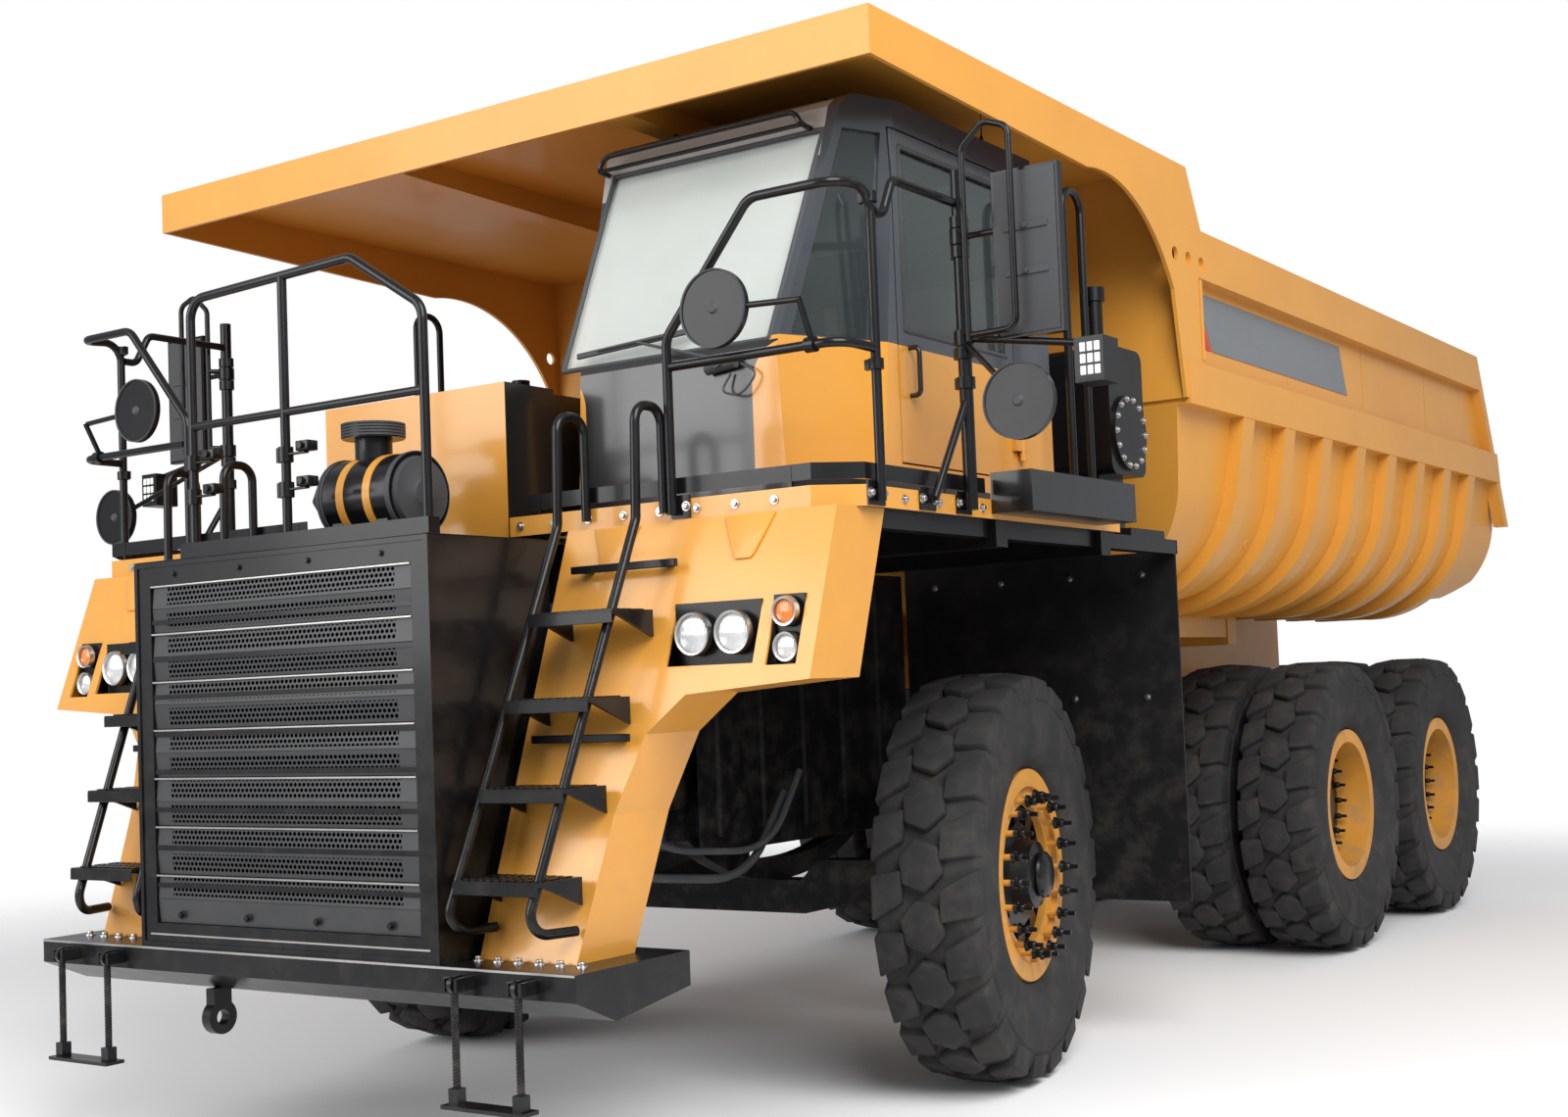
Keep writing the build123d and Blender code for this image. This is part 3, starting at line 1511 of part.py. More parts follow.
with BuildPart() as dump_tub:
    add(tub_outer.part)
    add(tub_inner.part, mode=Mode.SUBTRACT)
    for side in (-1, 1):
        inner = side * (rail_panel_x - 20)
        outer = side * rail_out_x
        rail_side = [
            (body_front_y - 200, rail_low_z),
            (tail_y - 200, rail_low_z),
            (tail_y - 250, rail_high_z),
            (body_front_y - 200, rail_high_z),
        ]
        prism(rail_side, min(inner, outer), max(inner, outer))
        cap = side * body_half
        top_side = [
            (body_front_y - 200, top_rail_z - top_rail_depth),
            (body_rear_y + tail_rake * top_rail_depth, top_rail_z - top_rail_depth),
            (body_rear_y, top_rail_z),
            (body_front_y - 200, top_rail_z),
        ]
        prism(top_side, min(inner, cap), max(inner, cap))
        end_post = [
            (body_rear_y + tail_rake * top_rail_depth - end_post_width, top_rail_z - top_rail_depth),
            (body_rear_y + tail_rake * top_rail_depth, top_rail_z - top_rail_depth),
            (tail_y, tail_z),
            (tail_y - end_post_width, tail_z),
        ]
        prism(end_post, min(inner, cap), max(inner, cap))
        front_post = [
            (body_front_y - 200, rail_high_z),
            (body_front_y + 40, rail_high_z),
            (body_front_y + 10, top_rail_z - top_rail_depth),
            (body_front_y - 200, top_rail_z - top_rail_depth),
        ]
        prism(front_post, min(inner, cap), max(inner, cap))
        plate = side * underplate_x
        prism(
            [
                (body_front_y + 1000, body_floor_z - 60),
                (body_front_y + 1000, rail_top_z + 230),
                (mid_axle_y + 90, rail_top_z + 230),
                (mid_axle_y + 90, body_floor_z - 60),
                (mid_axle_y - 500, body_floor_z - 30),
            ],
            plate - 20,
            plate + 20,
        )
        for y in (body_front_y - 120, body_front_y + 57):
            edge = side * (body_half + 5)
            floor = side * (body_half - 25)
            rod((floor, y, canopy_hole_z), (edge, y, canopy_hole_z), canopy_hole_radius, Mode.SUBTRACT)
    add(ribs.part)
    for side in (-1, 1):
        x = side * bolster_x
        block(
            (x - bolster_width / 2, x + bolster_width / 2),
            (body_front_y + 300, hinge_y - 190),
            (rail_top_z - 30 + seat_gap, body_floor_z - 60),
        )
        lug_x = side * (rail_x - rail_width / 2 - 45)
        with BuildSketch(Plane.YZ.offset(lug_x - 30)) as lug:
            with Locations((hinge_y, hinge_z)):
                Circle(hinge_pin_radius + 40)
            with Locations((hinge_y, (hinge_z + body_floor_z) / 2 - 30)):
                Rectangle(2 * (hinge_pin_radius + 40), body_floor_z - hinge_z + 100)
        extrude(lug.sketch, amount=60)
        edge = side * (rail_x + rail_width / 2 + 15)
        rod(
            (min(lug_x, edge), hinge_y, hinge_z),
            (max(lug_x, edge), hinge_y, hinge_z),
            hinge_pin_radius - hinge_clearance,
        )
        prism(
            [
                (cheek_y, hoist_top_z - 45),
                (cheek_y, hoist_top_z + 80),
                (body_front_y - 150, hoist_top_z + 200),
                (body_front_y - 75, hoist_top_z - 45),
            ],
            side * 125 - 18,
            side * 125 + 18,
        )
    block((-1100, 1100), (body_front_y + 1000, body_front_y + 1150), (rail_top_z + 180, body_floor_z - 60))
    block((-1100, 1100), (mid_axle_y - 60, mid_axle_y + 90), (rail_top_z + 180, body_floor_z - 60))
save(dump_tub, "dump_tub")

# Canopy over the cab, with a deep front lip, side plates and stiffeners
wall_y = body_front_y - 200 - seat_gap
header_top_y = body_front_y - 100
header_low_y = body_front_y + 70
corner_front = (-2187, canopy_top_z - 246)
corner_middle = (-1480, canopy_top_z - 392)
corner_rear = (-1210, canopy_top_z - 677)
with BuildPart() as dump_canopy:
    with BuildSketch(Plane.YZ.offset(-body_half)) as side_plate:
        with BuildLine():
            underside = Line((canopy_front_y, canopy_top_z - canopy_lip), corner_front)
            corner = ThreePointArc(underside @ 1, corner_middle, corner_rear)
            down = Line(corner @ 1, (wall_y - 30, rail_low_z + 30))
            foot = Line(down @ 1, (wall_y, rail_low_z + 30))
            back = Line(foot @ 1, (wall_y, canopy_top_z))
            top = Line(back @ 1, (canopy_front_y, canopy_top_z))
            Line(top @ 1, underside @ 0)
        make_face()
    extrude(side_plate.sketch, amount=canopy_plate)
    mirror(about=Plane.YZ)
    block((-body_half, body_half), (canopy_front_y, wall_y), (canopy_top_z - canopy_plate, canopy_top_z))
    block(
        (-body_half, body_half),
        (canopy_front_y, canopy_front_y + canopy_plate),
        (canopy_top_z - canopy_lip, canopy_top_z),
    )
    block((-body_half, body_half), (wall_y - canopy_plate, wall_y), (rail_low_z + 30, canopy_top_z))
    header = [
        (wall_y - canopy_plate, top_rail_z + seat_gap),
        (wall_y - canopy_plate, canopy_top_z),
        (header_top_y, canopy_top_z),
        (header_low_y, top_rail_z + seat_gap),
    ]
    prism(header, -body_half, body_half)
    for side in (-1, 1):
        floor = side * (body_half - canopy_plate - 5)
        edge = side * (body_half + 5)
        y = wall_y - 97
        rod((floor, y, canopy_hole_z), (edge, y, canopy_hole_z), canopy_hole_radius, Mode.SUBTRACT)
    for x in (-700, 700):
        prism(
            [
                (canopy_front_y + 10, canopy_top_z - 110),
                (canopy_front_y + 10, canopy_top_z - 10),
                (wall_y - 10, canopy_top_z - 10),
                (wall_y - 10, canopy_top_z - 420),
                (wall_y - 350, canopy_top_z - 160),
            ],
            x - 60,
            x + 60,
        )
save(dump_canopy, "dump_canopy")

# Hoist: an outer barrel on its base pin and four telescoping tubes
tube_length = hoist_top_z - hoist_base_z - 120
outer_radius = hoist_outer_radius
bottom = hoist_base_z + 90
with BuildPart() as hoist_barrel:
    rod((0, hoist_y, bottom), (0, hoist_y, hoist_top_z - 130), outer_radius)
    rod(
        (0, hoist_y, bottom + 30),
        (0, hoist_y, bottom + tube_length),
        outer_radius - hoist_wall,
        Mode.SUBTRACT,
    )
    rod((-70, hoist_y, hoist_base_z), (70, hoist_y, hoist_base_z), 75)
    rod((0, hoist_y, hoist_base_z), (0, hoist_y, bottom + 5), 70)
    rod(
        (-80, hoist_y, hoist_base_z),
        (80, hoist_y, hoist_base_z),
        hoist_pin_radius + hinge_clearance,
        Mode.SUBTRACT,
    )
save(hoist_barrel, "hoist_barrel")
radius = outer_radius - hoist_wall
for stage in range(1, hoist_stages + 1):
    radius = radius - hoist_running
    low = bottom + 32 + 4 * stage
    high = hoist_top_z - 130 + 12 * stage
    with BuildPart() as hoist_tube:
        if stage < hoist_stages:
            rod((0, hoist_y, low), (0, hoist_y, high), radius)
            radius = radius - hoist_wall
            rod((0, hoist_y, low - 5), (0, hoist_y, high + 5), radius, Mode.SUBTRACT)
        else:
            rod((0, hoist_y, low), (0, hoist_y, hoist_top_z), radius)
            rod((-68, hoist_y, hoist_top_z), (68, hoist_y, hoist_top_z), radius - 15)
            rod((-100, hoist_y, hoist_top_z), (100, hoist_y, hoist_top_z), hoist_pin_radius)
    save(hoist_tube, "hoist_stage_" + str(stage))
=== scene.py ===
import bpy
import math
from mathutils import Matrix, Vector


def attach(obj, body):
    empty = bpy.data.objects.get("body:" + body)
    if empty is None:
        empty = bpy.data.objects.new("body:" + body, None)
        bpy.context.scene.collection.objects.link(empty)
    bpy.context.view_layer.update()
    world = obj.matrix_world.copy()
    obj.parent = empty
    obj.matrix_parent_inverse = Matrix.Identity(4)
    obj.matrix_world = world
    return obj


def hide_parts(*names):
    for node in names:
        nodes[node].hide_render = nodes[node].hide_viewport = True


# Looks for the mining dump truck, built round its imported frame. Metres, +X left, -Y front, +Z up.
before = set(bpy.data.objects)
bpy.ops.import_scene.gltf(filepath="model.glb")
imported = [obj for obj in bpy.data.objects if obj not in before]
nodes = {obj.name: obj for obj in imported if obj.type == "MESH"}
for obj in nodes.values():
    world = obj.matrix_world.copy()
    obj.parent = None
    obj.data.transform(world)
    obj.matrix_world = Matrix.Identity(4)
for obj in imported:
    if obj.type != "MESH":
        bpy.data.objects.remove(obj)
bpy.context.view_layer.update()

# Finishes as they show in even light
ORANGE = (0.64, 0.285, 0.038, 1)
ORANGE_DEEP = (0.50, 0.21, 0.024, 1)
BLACK = (0.0035, 0.0035, 0.004, 1)
CHARCOAL = (0.009, 0.010, 0.012, 1)
SLATE = (0.038, 0.044, 0.052, 1)
BROW_GREY = (0.34, 0.33, 0.31, 1)
SILVER = (0.55, 0.54, 0.52, 1)
DUST = (0.20, 0.17, 0.13, 1)

SIDES = ((1, "left"), (-1, "right"))
FAR = 9.0  # past the truck on any side
CENTIMETRE = 0.01
MERGE = 0.00005  # corners nearer than this become one


# Small helpers for node trees
def fill(node, values):
    """Sets constants on a node's own sockets."""
    for key, value in values.items():
        node.inputs[key].default_value = value


def put(tree, kind, values=(), **settings):
    """A node with some of its inputs and settings filled in."""
    node = tree.nodes.new(kind)
    for key, value in settings.items():
        setattr(node, key, value)
    fill(node, dict(values))
    return node


def wire(tree, source, target):
    tree.links.new(source, target)


def new_group(name, inputs, outputs):
    """A shader node group with named sockets, and its two end nodes."""
    group = bpy.data.node_groups.new(name, "ShaderNodeTree")
    for title, kind, value in inputs:
        socket = group.interface.new_socket(title, in_out="INPUT", socket_type="NodeSocket" + kind)
        if value is not None:
            socket.default_value = value
    for title, kind in outputs:
        group.interface.new_socket(title, in_out="OUTPUT", socket_type="NodeSocket" + kind)
    return group, group.nodes.new("NodeGroupInput"), group.nodes.new("NodeGroupOutput")


def maths(tree, operation, a, b=0, clamp=False):
    """A Math node on two sockets or numbers."""
    node = put(tree, "ShaderNodeMath", operation=operation, use_clamp=clamp)
    for index, value in enumerate((a, b)):
        if isinstance(value, (int, float)):
            node.inputs[index].default_value = value
        else:
            wire(tree, value, node.inputs[index])
    return node.outputs[0]

def times(tree, a, b, clamp=False):
    return maths(tree, "MULTIPLY", a, b, clamp)


def along(tree, vector, axis):
    """One coordinate of a vector."""
    split = put(tree, "ShaderNodeSeparateXYZ")
    wire(tree, vector, split.inputs[0])
    return split.outputs[axis]


def blended(tree, factor, a, b):
    """Two colours mixed by a factor; each may be a socket or a plain value."""
    node = put(tree, "ShaderNodeMix", data_type="RGBA")
    for socket, value in ((node.inputs[0], factor), (node.inputs[6], a), (node.inputs[7], b)):
        if isinstance(value, (int, float, tuple)):
            socket.default_value = value
        else:
            wire(tree, value, socket)
    return node.outputs[2]


def ramp(tree, value, low, high):
    """A smooth step from 0 at low to 1 at high."""
    node = put(tree, "ShaderNodeMapRange", {"From Min": low, "From Max": high})
    node.interpolation_type = "SMOOTHSTEP"
    wire(tree, value, node.inputs["Value"])
    return node.outputs["Result"]


def noise(tree, vector, scale, detail=4.0, rough=0.55):
    node = put(tree, "ShaderNodeTexNoise", {"Scale": scale, "Detail": detail, "Roughness": rough})
    wire(tree, vector, node.inputs["Vector"])
    return node.outputs["Fac"]


# Shared effects
def make_weather():
    """Mottled colour, grime that gathers low down, and a fine grain."""
    group, start, end = new_group(
        "Weather",
        [
            ("Place", "Vector", None),
            ("Colour", "Color", (0.5, 0.5, 0.5, 1)),
            ("Shade", "Color", (0.3, 0.3, 0.3, 1)),
            ("Dirt", "Color", DUST),
            ("Mottle", "Float", 0.3),
            ("Dust", "Float", 0.3),
            ("Grain", "Float", 60.0),
            ("Dull", "Float", 0.35),
        ],
        [("Colour", "Color"), ("Roughness", "Float"), ("Height", "Float")],
    )
    place = start.outputs["Place"]
    cloud = noise(group, place, 1.3, 5.0)
    streak = noise(group, place, 7.0, 6.0, 0.65)
    grain = noise(group, place, 1.0, 2.0)
    wire(group, start.outputs["Grain"], grain.node.inputs["Scale"])
    low_down = maths(group, "SUBTRACT", 1.0, ramp(group, along(group, place, "Z"), 0.5, 3.4))
    patches = ramp(group, streak, 0.42, 0.72)
    grime = times(group, times(group, patches, low_down), start.outputs["Dust"], True)
    mottled = times(group, ramp(group, cloud, 0.35, 0.7), start.outputs["Mottle"], True)
    colour = blended(group, mottled, start.outputs["Colour"], start.outputs["Shade"])
    wire(group, blended(group, grime, colour, start.outputs["Dirt"]), end.inputs["Colour"])
    rough = maths(group, "ADD", start.outputs["Dull"], times(group, grime, 0.35))
    rough = maths(group, "ADD", rough, times(group, streak, 0.10), True)
    wire(group, rough, end.inputs["Roughness"])
    wire(group, grain, end.inputs["Height"])
    return group


ROW_PITCH = 0.866  # height of a row of staggered holes, for each metre of their pitch


def make_holes():
    """A mask of staggered round holes on the X and Z of the place given, in metres."""
    group, start, end = new_group(
        "Punched holes",
        [("Place", "Vector", None), ("Pitch", "Float", 0.03), ("Size", "Float", 0.34)],
        [("Mask", "Float")],
    )
    place, pitch = start.outputs["Place"], start.outputs["Pitch"]
    row = maths(group, "DIVIDE", along(group, place, "Z"), times(group, pitch, ROW_PITCH))
    odd = times(group, maths(group, "MODULO", maths(group, "FLOOR", row), 2.0), 0.5)
    column = maths(group, "ADD", maths(group, "DIVIDE", along(group, place, "X"), pitch), odd)
    squares = []
    for count in (column, row):
        from_centre = maths(group, "SUBTRACT", maths(group, "FRACT", count), 0.5)
        squares.append(maths(group, "POWER", from_centre, 2.0))
    away = maths(group, "SQRT", maths(group, "ADD", *squares))
    wire(group, maths(group, "LESS_THAN", away, start.outputs["Size"]), end.inputs["Mask"])
    return group


weather = make_weather()
holes = make_holes()


def new_material(name):
    """A fresh material with its tree, its shader and the object's own coordinates."""
    material = bpy.data.materials.new(name)
    material.use_nodes = True
    tree = material.node_tree
    shader = tree.nodes["Principled BSDF"]
    place = put(tree, "ShaderNodeTexCoord").outputs["Object"]
    return material, tree, shader, place


def bumped(tree, shader, height, strength, distance):
    """A height turned into the shader's normal."""
    bump = put(tree, "ShaderNodeBump", {"Strength": strength, "Distance": distance})
    wire(tree, height, bump.inputs["Height"])
    wire(tree, bump.outputs["Normal"], shader.inputs["Normal"])


def weathered(name, colour, shade, dull, mottle=0.35, dust=0.3, grain=90.0, bump=0.04, metal=0.0, coat=0.0):
    """A finish with mottling, grime and grain; the first colour may be replaced by later zones."""
    material, tree, shader, place = new_material(name)
    look = put(tree, "ShaderNodeGroup", node_tree=weather)
    fill(look, {"Colour": colour, "Shade": shade, "Mottle": mottle})
    fill(look, {"Dust": dust, "Grain": grain, "Dull": dull})
    wire(tree, place, look.inputs["Place"])
    wire(tree, look.outputs["Colour"], shader.inputs["Base Color"])
    wire(tree, look.outputs["Roughness"], shader.inputs["Roughness"])
    bumped(tree, shader, look.outputs["Height"], 0.35, bump * CENTIMETRE)
    fill(shader, {"Metallic": metal, "Coat Weight": coat, "Coat Roughness": 0.12})
    if max(colour[:3]) < 0.03:
        shader.inputs["Specular IOR Level"].default_value = 0.22
    return material


def zone(tree, place, axis, low, high):
    """1 where a coordinate lies between two places, or else 0."""
    value = along(tree, place, axis)
    above = maths(tree, "GREATER_THAN", value, low)
    below = maths(tree, "LESS_THAN", value, high)
    return times(tree, above, below)


def facing(tree, axis, least):
    """1 on faces that look along an axis by more than the given amount, or else 0."""
    normal = put(tree, "ShaderNodeNewGeometry").outputs["True Normal"]
    test = "LESS_THAN" if least < 0 else "GREATER_THAN"
    return maths(tree, test, along(tree, normal, axis), least)


def repainted(material, parts):
    """Paints over a weathered finish, each part where its mask is 1."""
    tree = material.node_tree
    shader = tree.nodes["Principled BSDF"]
    colour = shader.inputs["Base Color"].links[0].from_socket
    for mask, paint in parts:
        colour = blended(tree, mask, colour, paint)
    wire(tree, colour, shader.inputs["Base Color"])
    return material


def own_place(material):
    """A material's own object coordinates."""
    return next(n for n in material.node_tree.nodes if n.type == "TEX_COORD").outputs["Object"]


body_paint = weathered("body_paint", ORANGE, ORANGE_DEEP, 0.40, 0.30, 0.12, 70.0, 0.05, coat=0.18)
wheel_paint = weathered("wheel_paint", ORANGE, ORANGE_DEEP, 0.42, 0.45, 0.45, 120.0, 0.06)
black_paint = weathered("black_paint", BLACK, CHARCOAL, 0.26, 0.5, 0.06, 120.0, 0.05, coat=0.18)
chassis_paint = weathered("chassis_paint", BLACK, CHARCOAL, 0.5, 0.5, 0.25, 80.0, 0.10)
rubber = weathered(
    "tyre_rubber", (0.024, 0.024, 0.025, 1), (0.042, 0.041, 0.041, 1), 0.78, 0.7, 0.14, 160.0, 0.12
)
flap_rubber = weathered("flap_rubber", (0.006, 0.006, 0.007, 1), BLACK, 0.55, 0.4, 0.12, 90.0, 0.08)
engine_paint = weathered("engine_paint", (0.03, 0.07, 0.16, 1), (0.02, 0.03, 0.06, 1), 0.5, 0.5, 0.6)
bright_steel = weathered(
    "bright_steel", SILVER, (0.35, 0.34, 0.33, 1), 0.25, 0.4, 0.1, 150.0, 0.04, metal=1.0
)
trim_plastic = weathered(
    "trim_plastic", (0.045, 0.047, 0.05, 1), (0.03, 0.03, 0.033, 1), 0.6, 0.4, 0.2, 220.0, 0.10
)
chrome_rod = weathered(
    "chrome_rod", (0.6, 0.6, 0.6, 1), (0.5, 0.5, 0.5, 1), 0.12, 0.2, 0.0, 200.0, 0.01, metal=1.0
)


def make_cab_paint():
    """Slate roof and pillars over orange sides, with a black cowl between two rounded corner pods."""
    material = weathered("cab_paint", ORANGE, ORANGE_DEEP, 0.24, 0.25, 0.08, 70.0, 0.04, coat=0.5)
    tree, place = material.node_tree, own_place(material)
    middle_x, half_cowl, pod, pod_top = 1.13, 0.43, 0.17, 3.045
    front = zone(tree, place, "Y", -FAR, -4.19)
    middle = zone(tree, place, "X", middle_x - half_cowl, middle_x + half_cowl)
    from_middle = maths(tree, "ABSOLUTE", maths(tree, "SUBTRACT", along(tree, place, "X"), middle_x))
    outward = maths(tree, "SUBTRACT", from_middle, half_cowl)
    side_gap = maths(tree, "SUBTRACT", pod, outward)
    top_gap = maths(tree, "MAXIMUM", maths(tree, "SUBTRACT", along(tree, place, "Z"), pod_top), 0.0)
    reach = maths(tree, "ADD", maths(tree, "POWER", side_gap, 2.0), maths(tree, "POWER", top_gap, 2.0))
    over = maths(tree, "GREATER_THAN", top_gap, 0.0001)
    near = maths(tree, "LESS_THAN", outward, pod)
    curve = times(tree, maths(tree, "GREATER_THAN", reach, pod ** 2), times(tree, over, near))
    cowl = times(tree, front, maths(tree, "MAXIMUM", middle, curve))
    upper = zone(tree, place, "Z", 3.235, FAR)
    brow = times(tree, zone(tree, place, "X", 0.56, 1.735), facing(tree, "Y", -0.5))
    brow = times(tree, brow, zone(tree, place, "Z", 4.0, 4.26))
    foot = zone(tree, place, "Z", 2.5, 2.665)
    grip = times(tree, zone(tree, place, "X", 1.903, 1.98), zone(tree, place, "Y", -3.56, -3.50))
    parts = [(cowl, BLACK), (foot, BLACK), (upper, SLATE), (brow, BROW_GREY), (grip, BLACK)]
    return repainted(material, parts)


def two_tone_and_shade(name, dull, coat, faces, beyond=None):
    """Orange paint, with painted shade in black on faces that look along the axes given, and black past a
    place on X.
    """
    material = weathered(name, ORANGE, ORANGE_DEEP, dull, 0.30, 0.12, 70.0, 0.05, coat=coat)
    tree = material.node_tree
    masks = [facing(tree, axis, least) for axis, least in faces]
    if beyond is not None:
        masks.append(zone(tree, own_place(material), "X", beyond, FAR))
    return repainted(material, [(mask, BLACK) for mask in masks])


def make_glass():
    """Cab glass: the windscreen painted pale as a painted sky reflection, the side panes darker and
    clearer.
    """
    material, tree, shader, place = new_material("cab_glazing")
    dusty = ramp(tree, noise(tree, place, 1.4, 3.0), 0.35, 0.8)
    # The pale tones are a painted sky reflection, varied by dust patches
    pale = blended(tree, dusty, (0.80, 0.83, 0.79, 1), (0.70, 0.74, 0.70, 1))
    front = facing(tree, "Y", -0.85)
    wire(tree, blended(tree, front, (0.20, 0.24, 0.24, 1), pale), shader.inputs["Base Color"])
    clear_part = maths(tree, "SUBTRACT", 0.88, times(tree, front, 0.36))
    wire(tree, clear_part, shader.inputs["Transmission Weight"])
    wire(tree, times(tree, dusty, 0.03), shader.inputs["Roughness"])
    shader.inputs["IOR"].default_value = 1.45
    return material


cab_paint = make_cab_paint()
cab_glazing = make_glass()
# Painted shade in black inside the fenders, on the hood's flank and rear, and under the decks; black on the
# tray by the door
fender_paint_and_shade = two_tone_and_shade("fender_paint_and_shade", 0.28, 0.4, [("Y", 0.3)])
hood_paint_and_shade = two_tone_and_shade("hood_paint_and_shade", 0.26, 0.4, [("X", 0.5), ("Y", 0.5)])
deck_paint_and_shade = two_tone_and_shade("deck_paint_and_shade", 0.30, 0.35, [("Z", -0.5)], 2.1905)

# Which finish each node of the frame takes
finishes = {
    "cab_shell": cab_paint,
    "cab_door": cab_paint,
    "cab_glass": cab_glazing,
    "door_glass": cab_glazing,
    "cab_interior": trim_plastic,
    "decks": deck_paint_and_shade,
    "fenders": fender_paint_and_shade,
    "dump_tub": body_paint,
    "dump_canopy": body_paint,
    "engine_block": engine_paint,
    "mud_flaps": flap_rubber,
    "hood_box": hood_paint_and_shade,
}
for name in ("front_axle", "frame_rails", "driveline", "springs", "rear_axles", "tie_rod"):
    finishes[name] = chassis_paint
for side, word in SIDES:
    finishes["knuckle_" + word] = chassis_paint
for name, node in nodes.items():
    finish = finishes.get(name, black_paint)
    if name.startswith("rim"):
        finish = wheel_paint
    if name.startswith("tyre"):
        finish = rubber
    if name.startswith("hoist_stage"):
        finish = chrome_rod
    if not node.material_slots:
        node.data.materials.append(finish)
    for place in node.material_slots:
        place.material = finish


# Small helpers for modelling
def clear():
    """Leaves nothing selected, so that an operator acts only on what comes next."""
    bpy.ops.object.select_all(action="DESELECT")


def pick(piece):
    """Selects one piece alone, as the one that operators act on."""
    clear()
    piece.select_set(True)
    bpy.context.view_layer.objects.active = piece


def linked(name, data):
    """A new object in the scene, picked."""
    piece = bpy.data.objects.new(name, data)
    bpy.context.collection.objects.link(piece)
    pick(piece)
    return piece


def from_points(name, corners, edges=(), faces=()):
    mesh = bpy.data.meshes.new(name)
    mesh.from_pydata(corners, list(edges), list(faces))
    return linked(name, mesh)


def at(place):
    return Matrix.Translation(place)


def towards(direction):
    """The turn that points Z along a direction."""
    return Vector(direction).to_track_quat("Z", "Y").to_matrix().to_4x4()


def moved(piece, place):
    piece.data.transform(at(place))
    return piece


def applied(name):
    """The piece that was just made, named, with its transforms applied."""
    piece = bpy.context.object
    piece.name = name
    bpy.ops.object.transform_apply(location=True, rotation=True, scale=True)
    return piece


def box(name, low, high):
    """A block between two corners, to be shaped further."""
    clear()
    middle = [(a + b) / 2 for a, b in zip(low, high)]
    bpy.ops.mesh.primitive_cube_add(size=1, location=middle)
    bpy.context.object.scale = [abs(b - a) for a, b in zip(low, high)]
    return applied(name)


def bar(name, start, end, radius, sides=16, end_radius=None):
    """A round bar between two points, tapered where an end radius is given."""
    clear()
    start, end = Vector(start), Vector(end)
    run = end - start
    bpy.ops.mesh.primitive_cone_add(
        vertices=sides,
        radius1=radius,
        radius2=radius if end_radius is None else end_radius,
        depth=run.length,
        location=(start + end) / 2,
        rotation=run.to_track_quat("Z", "Y").to_euler(),
    )
    return applied(name)


def bent_tube(name, points, radius, bend=0.06, steps=5):
    """A tube along a path whose corners are rounded, closed at its ends."""
    corners = [Vector(p) for p in points]
    path = [corners[0]]
    for before, corner, after in zip(corners, corners[1:], corners[2:]):
        back = (before - corner).normalized()
        on = (after - corner).normalized()
        reach = min(bend, (before - corner).length * 0.45, (after - corner).length * 0.45)
        for step in range(steps + 1):
            t = step / steps
            path.append(corner + back * reach * (1 - t) ** 2 + on * reach * t ** 2)
    path.append(corners[-1])
    line = bpy.data.curves.new(name, "CURVE")
    line.dimensions = "3D"
    line.bevel_depth = radius
    line.bevel_resolution = 2
    line.use_fill_caps = True
    run = line.splines.new("POLY")
    run.points.add(len(path) - 1)
    for point, place in zip(run.points, path):
        point.co = (*place, 1)
    linked(name, line)
    bpy.ops.object.convert(target="MESH")
    return bpy.context.object


def turned(name, outline, steps=64, axis=(1, 0, 0)):
    """A ring spun from a closed outline of (along, out) points about an axis through the origin."""
    axle = Vector(axis)
    out = Vector((0, 0, 1)) if abs(axle.z) < 0.5 else Vector((1, 0, 0))
    count = len(outline)
    corners = [axle * a + out * r for a, r in outline]
    piece = from_points(name, corners, [(i, (i + 1) % count) for i in range(count)])
    bpy.ops.object.mode_set(mode="EDIT")
    bpy.ops.mesh.select_all(action="SELECT")
    bpy.ops.mesh.spin(steps=steps, angle=2 * math.pi, center=(0, 0, 0), axis=axis)
    bpy.ops.mesh.select_all(action="SELECT")
    bpy.ops.mesh.remove_doubles(threshold=MERGE)
    bpy.ops.mesh.normals_make_consistent(inside=False)
    bpy.ops.object.mode_set(mode="OBJECT")
    return piece


def pull(piece, test, offset):
    """Moves the corners that pass a test, as by hand in edit mode."""
    pick(piece)
    bpy.ops.object.mode_set(mode="EDIT")
    bpy.ops.mesh.select_mode(type="VERT")
    bpy.ops.mesh.select_all(action="DESELECT")
    bpy.ops.object.mode_set(mode="OBJECT")
    for corner in piece.data.vertices:
        corner.select = bool(test(corner.co))
    bpy.ops.object.mode_set(mode="EDIT")
    bpy.ops.transform.translate(value=offset)
    bpy.ops.object.mode_set(mode="OBJECT")


def shaped(piece, kind, **settings):
    """Adds a modifier and applies it."""
    pick(piece)
    step = piece.modifiers.new(kind.lower(), kind)
    for key, value in settings.items():
        setattr(step, key, value)
    bpy.ops.object.modifier_apply(modifier=step.name)
    return piece


def eased(piece, width=0.004, segments=2):
    """Rounds the sharp edges."""
    return shaped(piece, "BEVEL", width=width, segments=segments, limit_method="ANGLE")


def block(name, low, high, width=0.002, segments=1):
    """A box with its edges rounded."""
    return eased(box(name, low, high), width, segments)


def plate(name, corners, thick, offset=0.0, faces=None):
    """A thin plate on the corners given: one face, or the faces listed."""
    piece = from_points(name, corners, faces=faces or [tuple(range(len(corners)))])
    return shaped(piece, "SOLIDIFY", thickness=thick, offset=offset)


def copied(piece, change):
    """Another of the same, with its own mesh, moved by a matrix."""
    twin = piece.copy()
    twin.data = piece.data.copy()
    twin.data.transform(change)
    if change.determinant() < 0:
        twin.data.flip_normals()
    bpy.context.collection.objects.link(twin)
    return twin


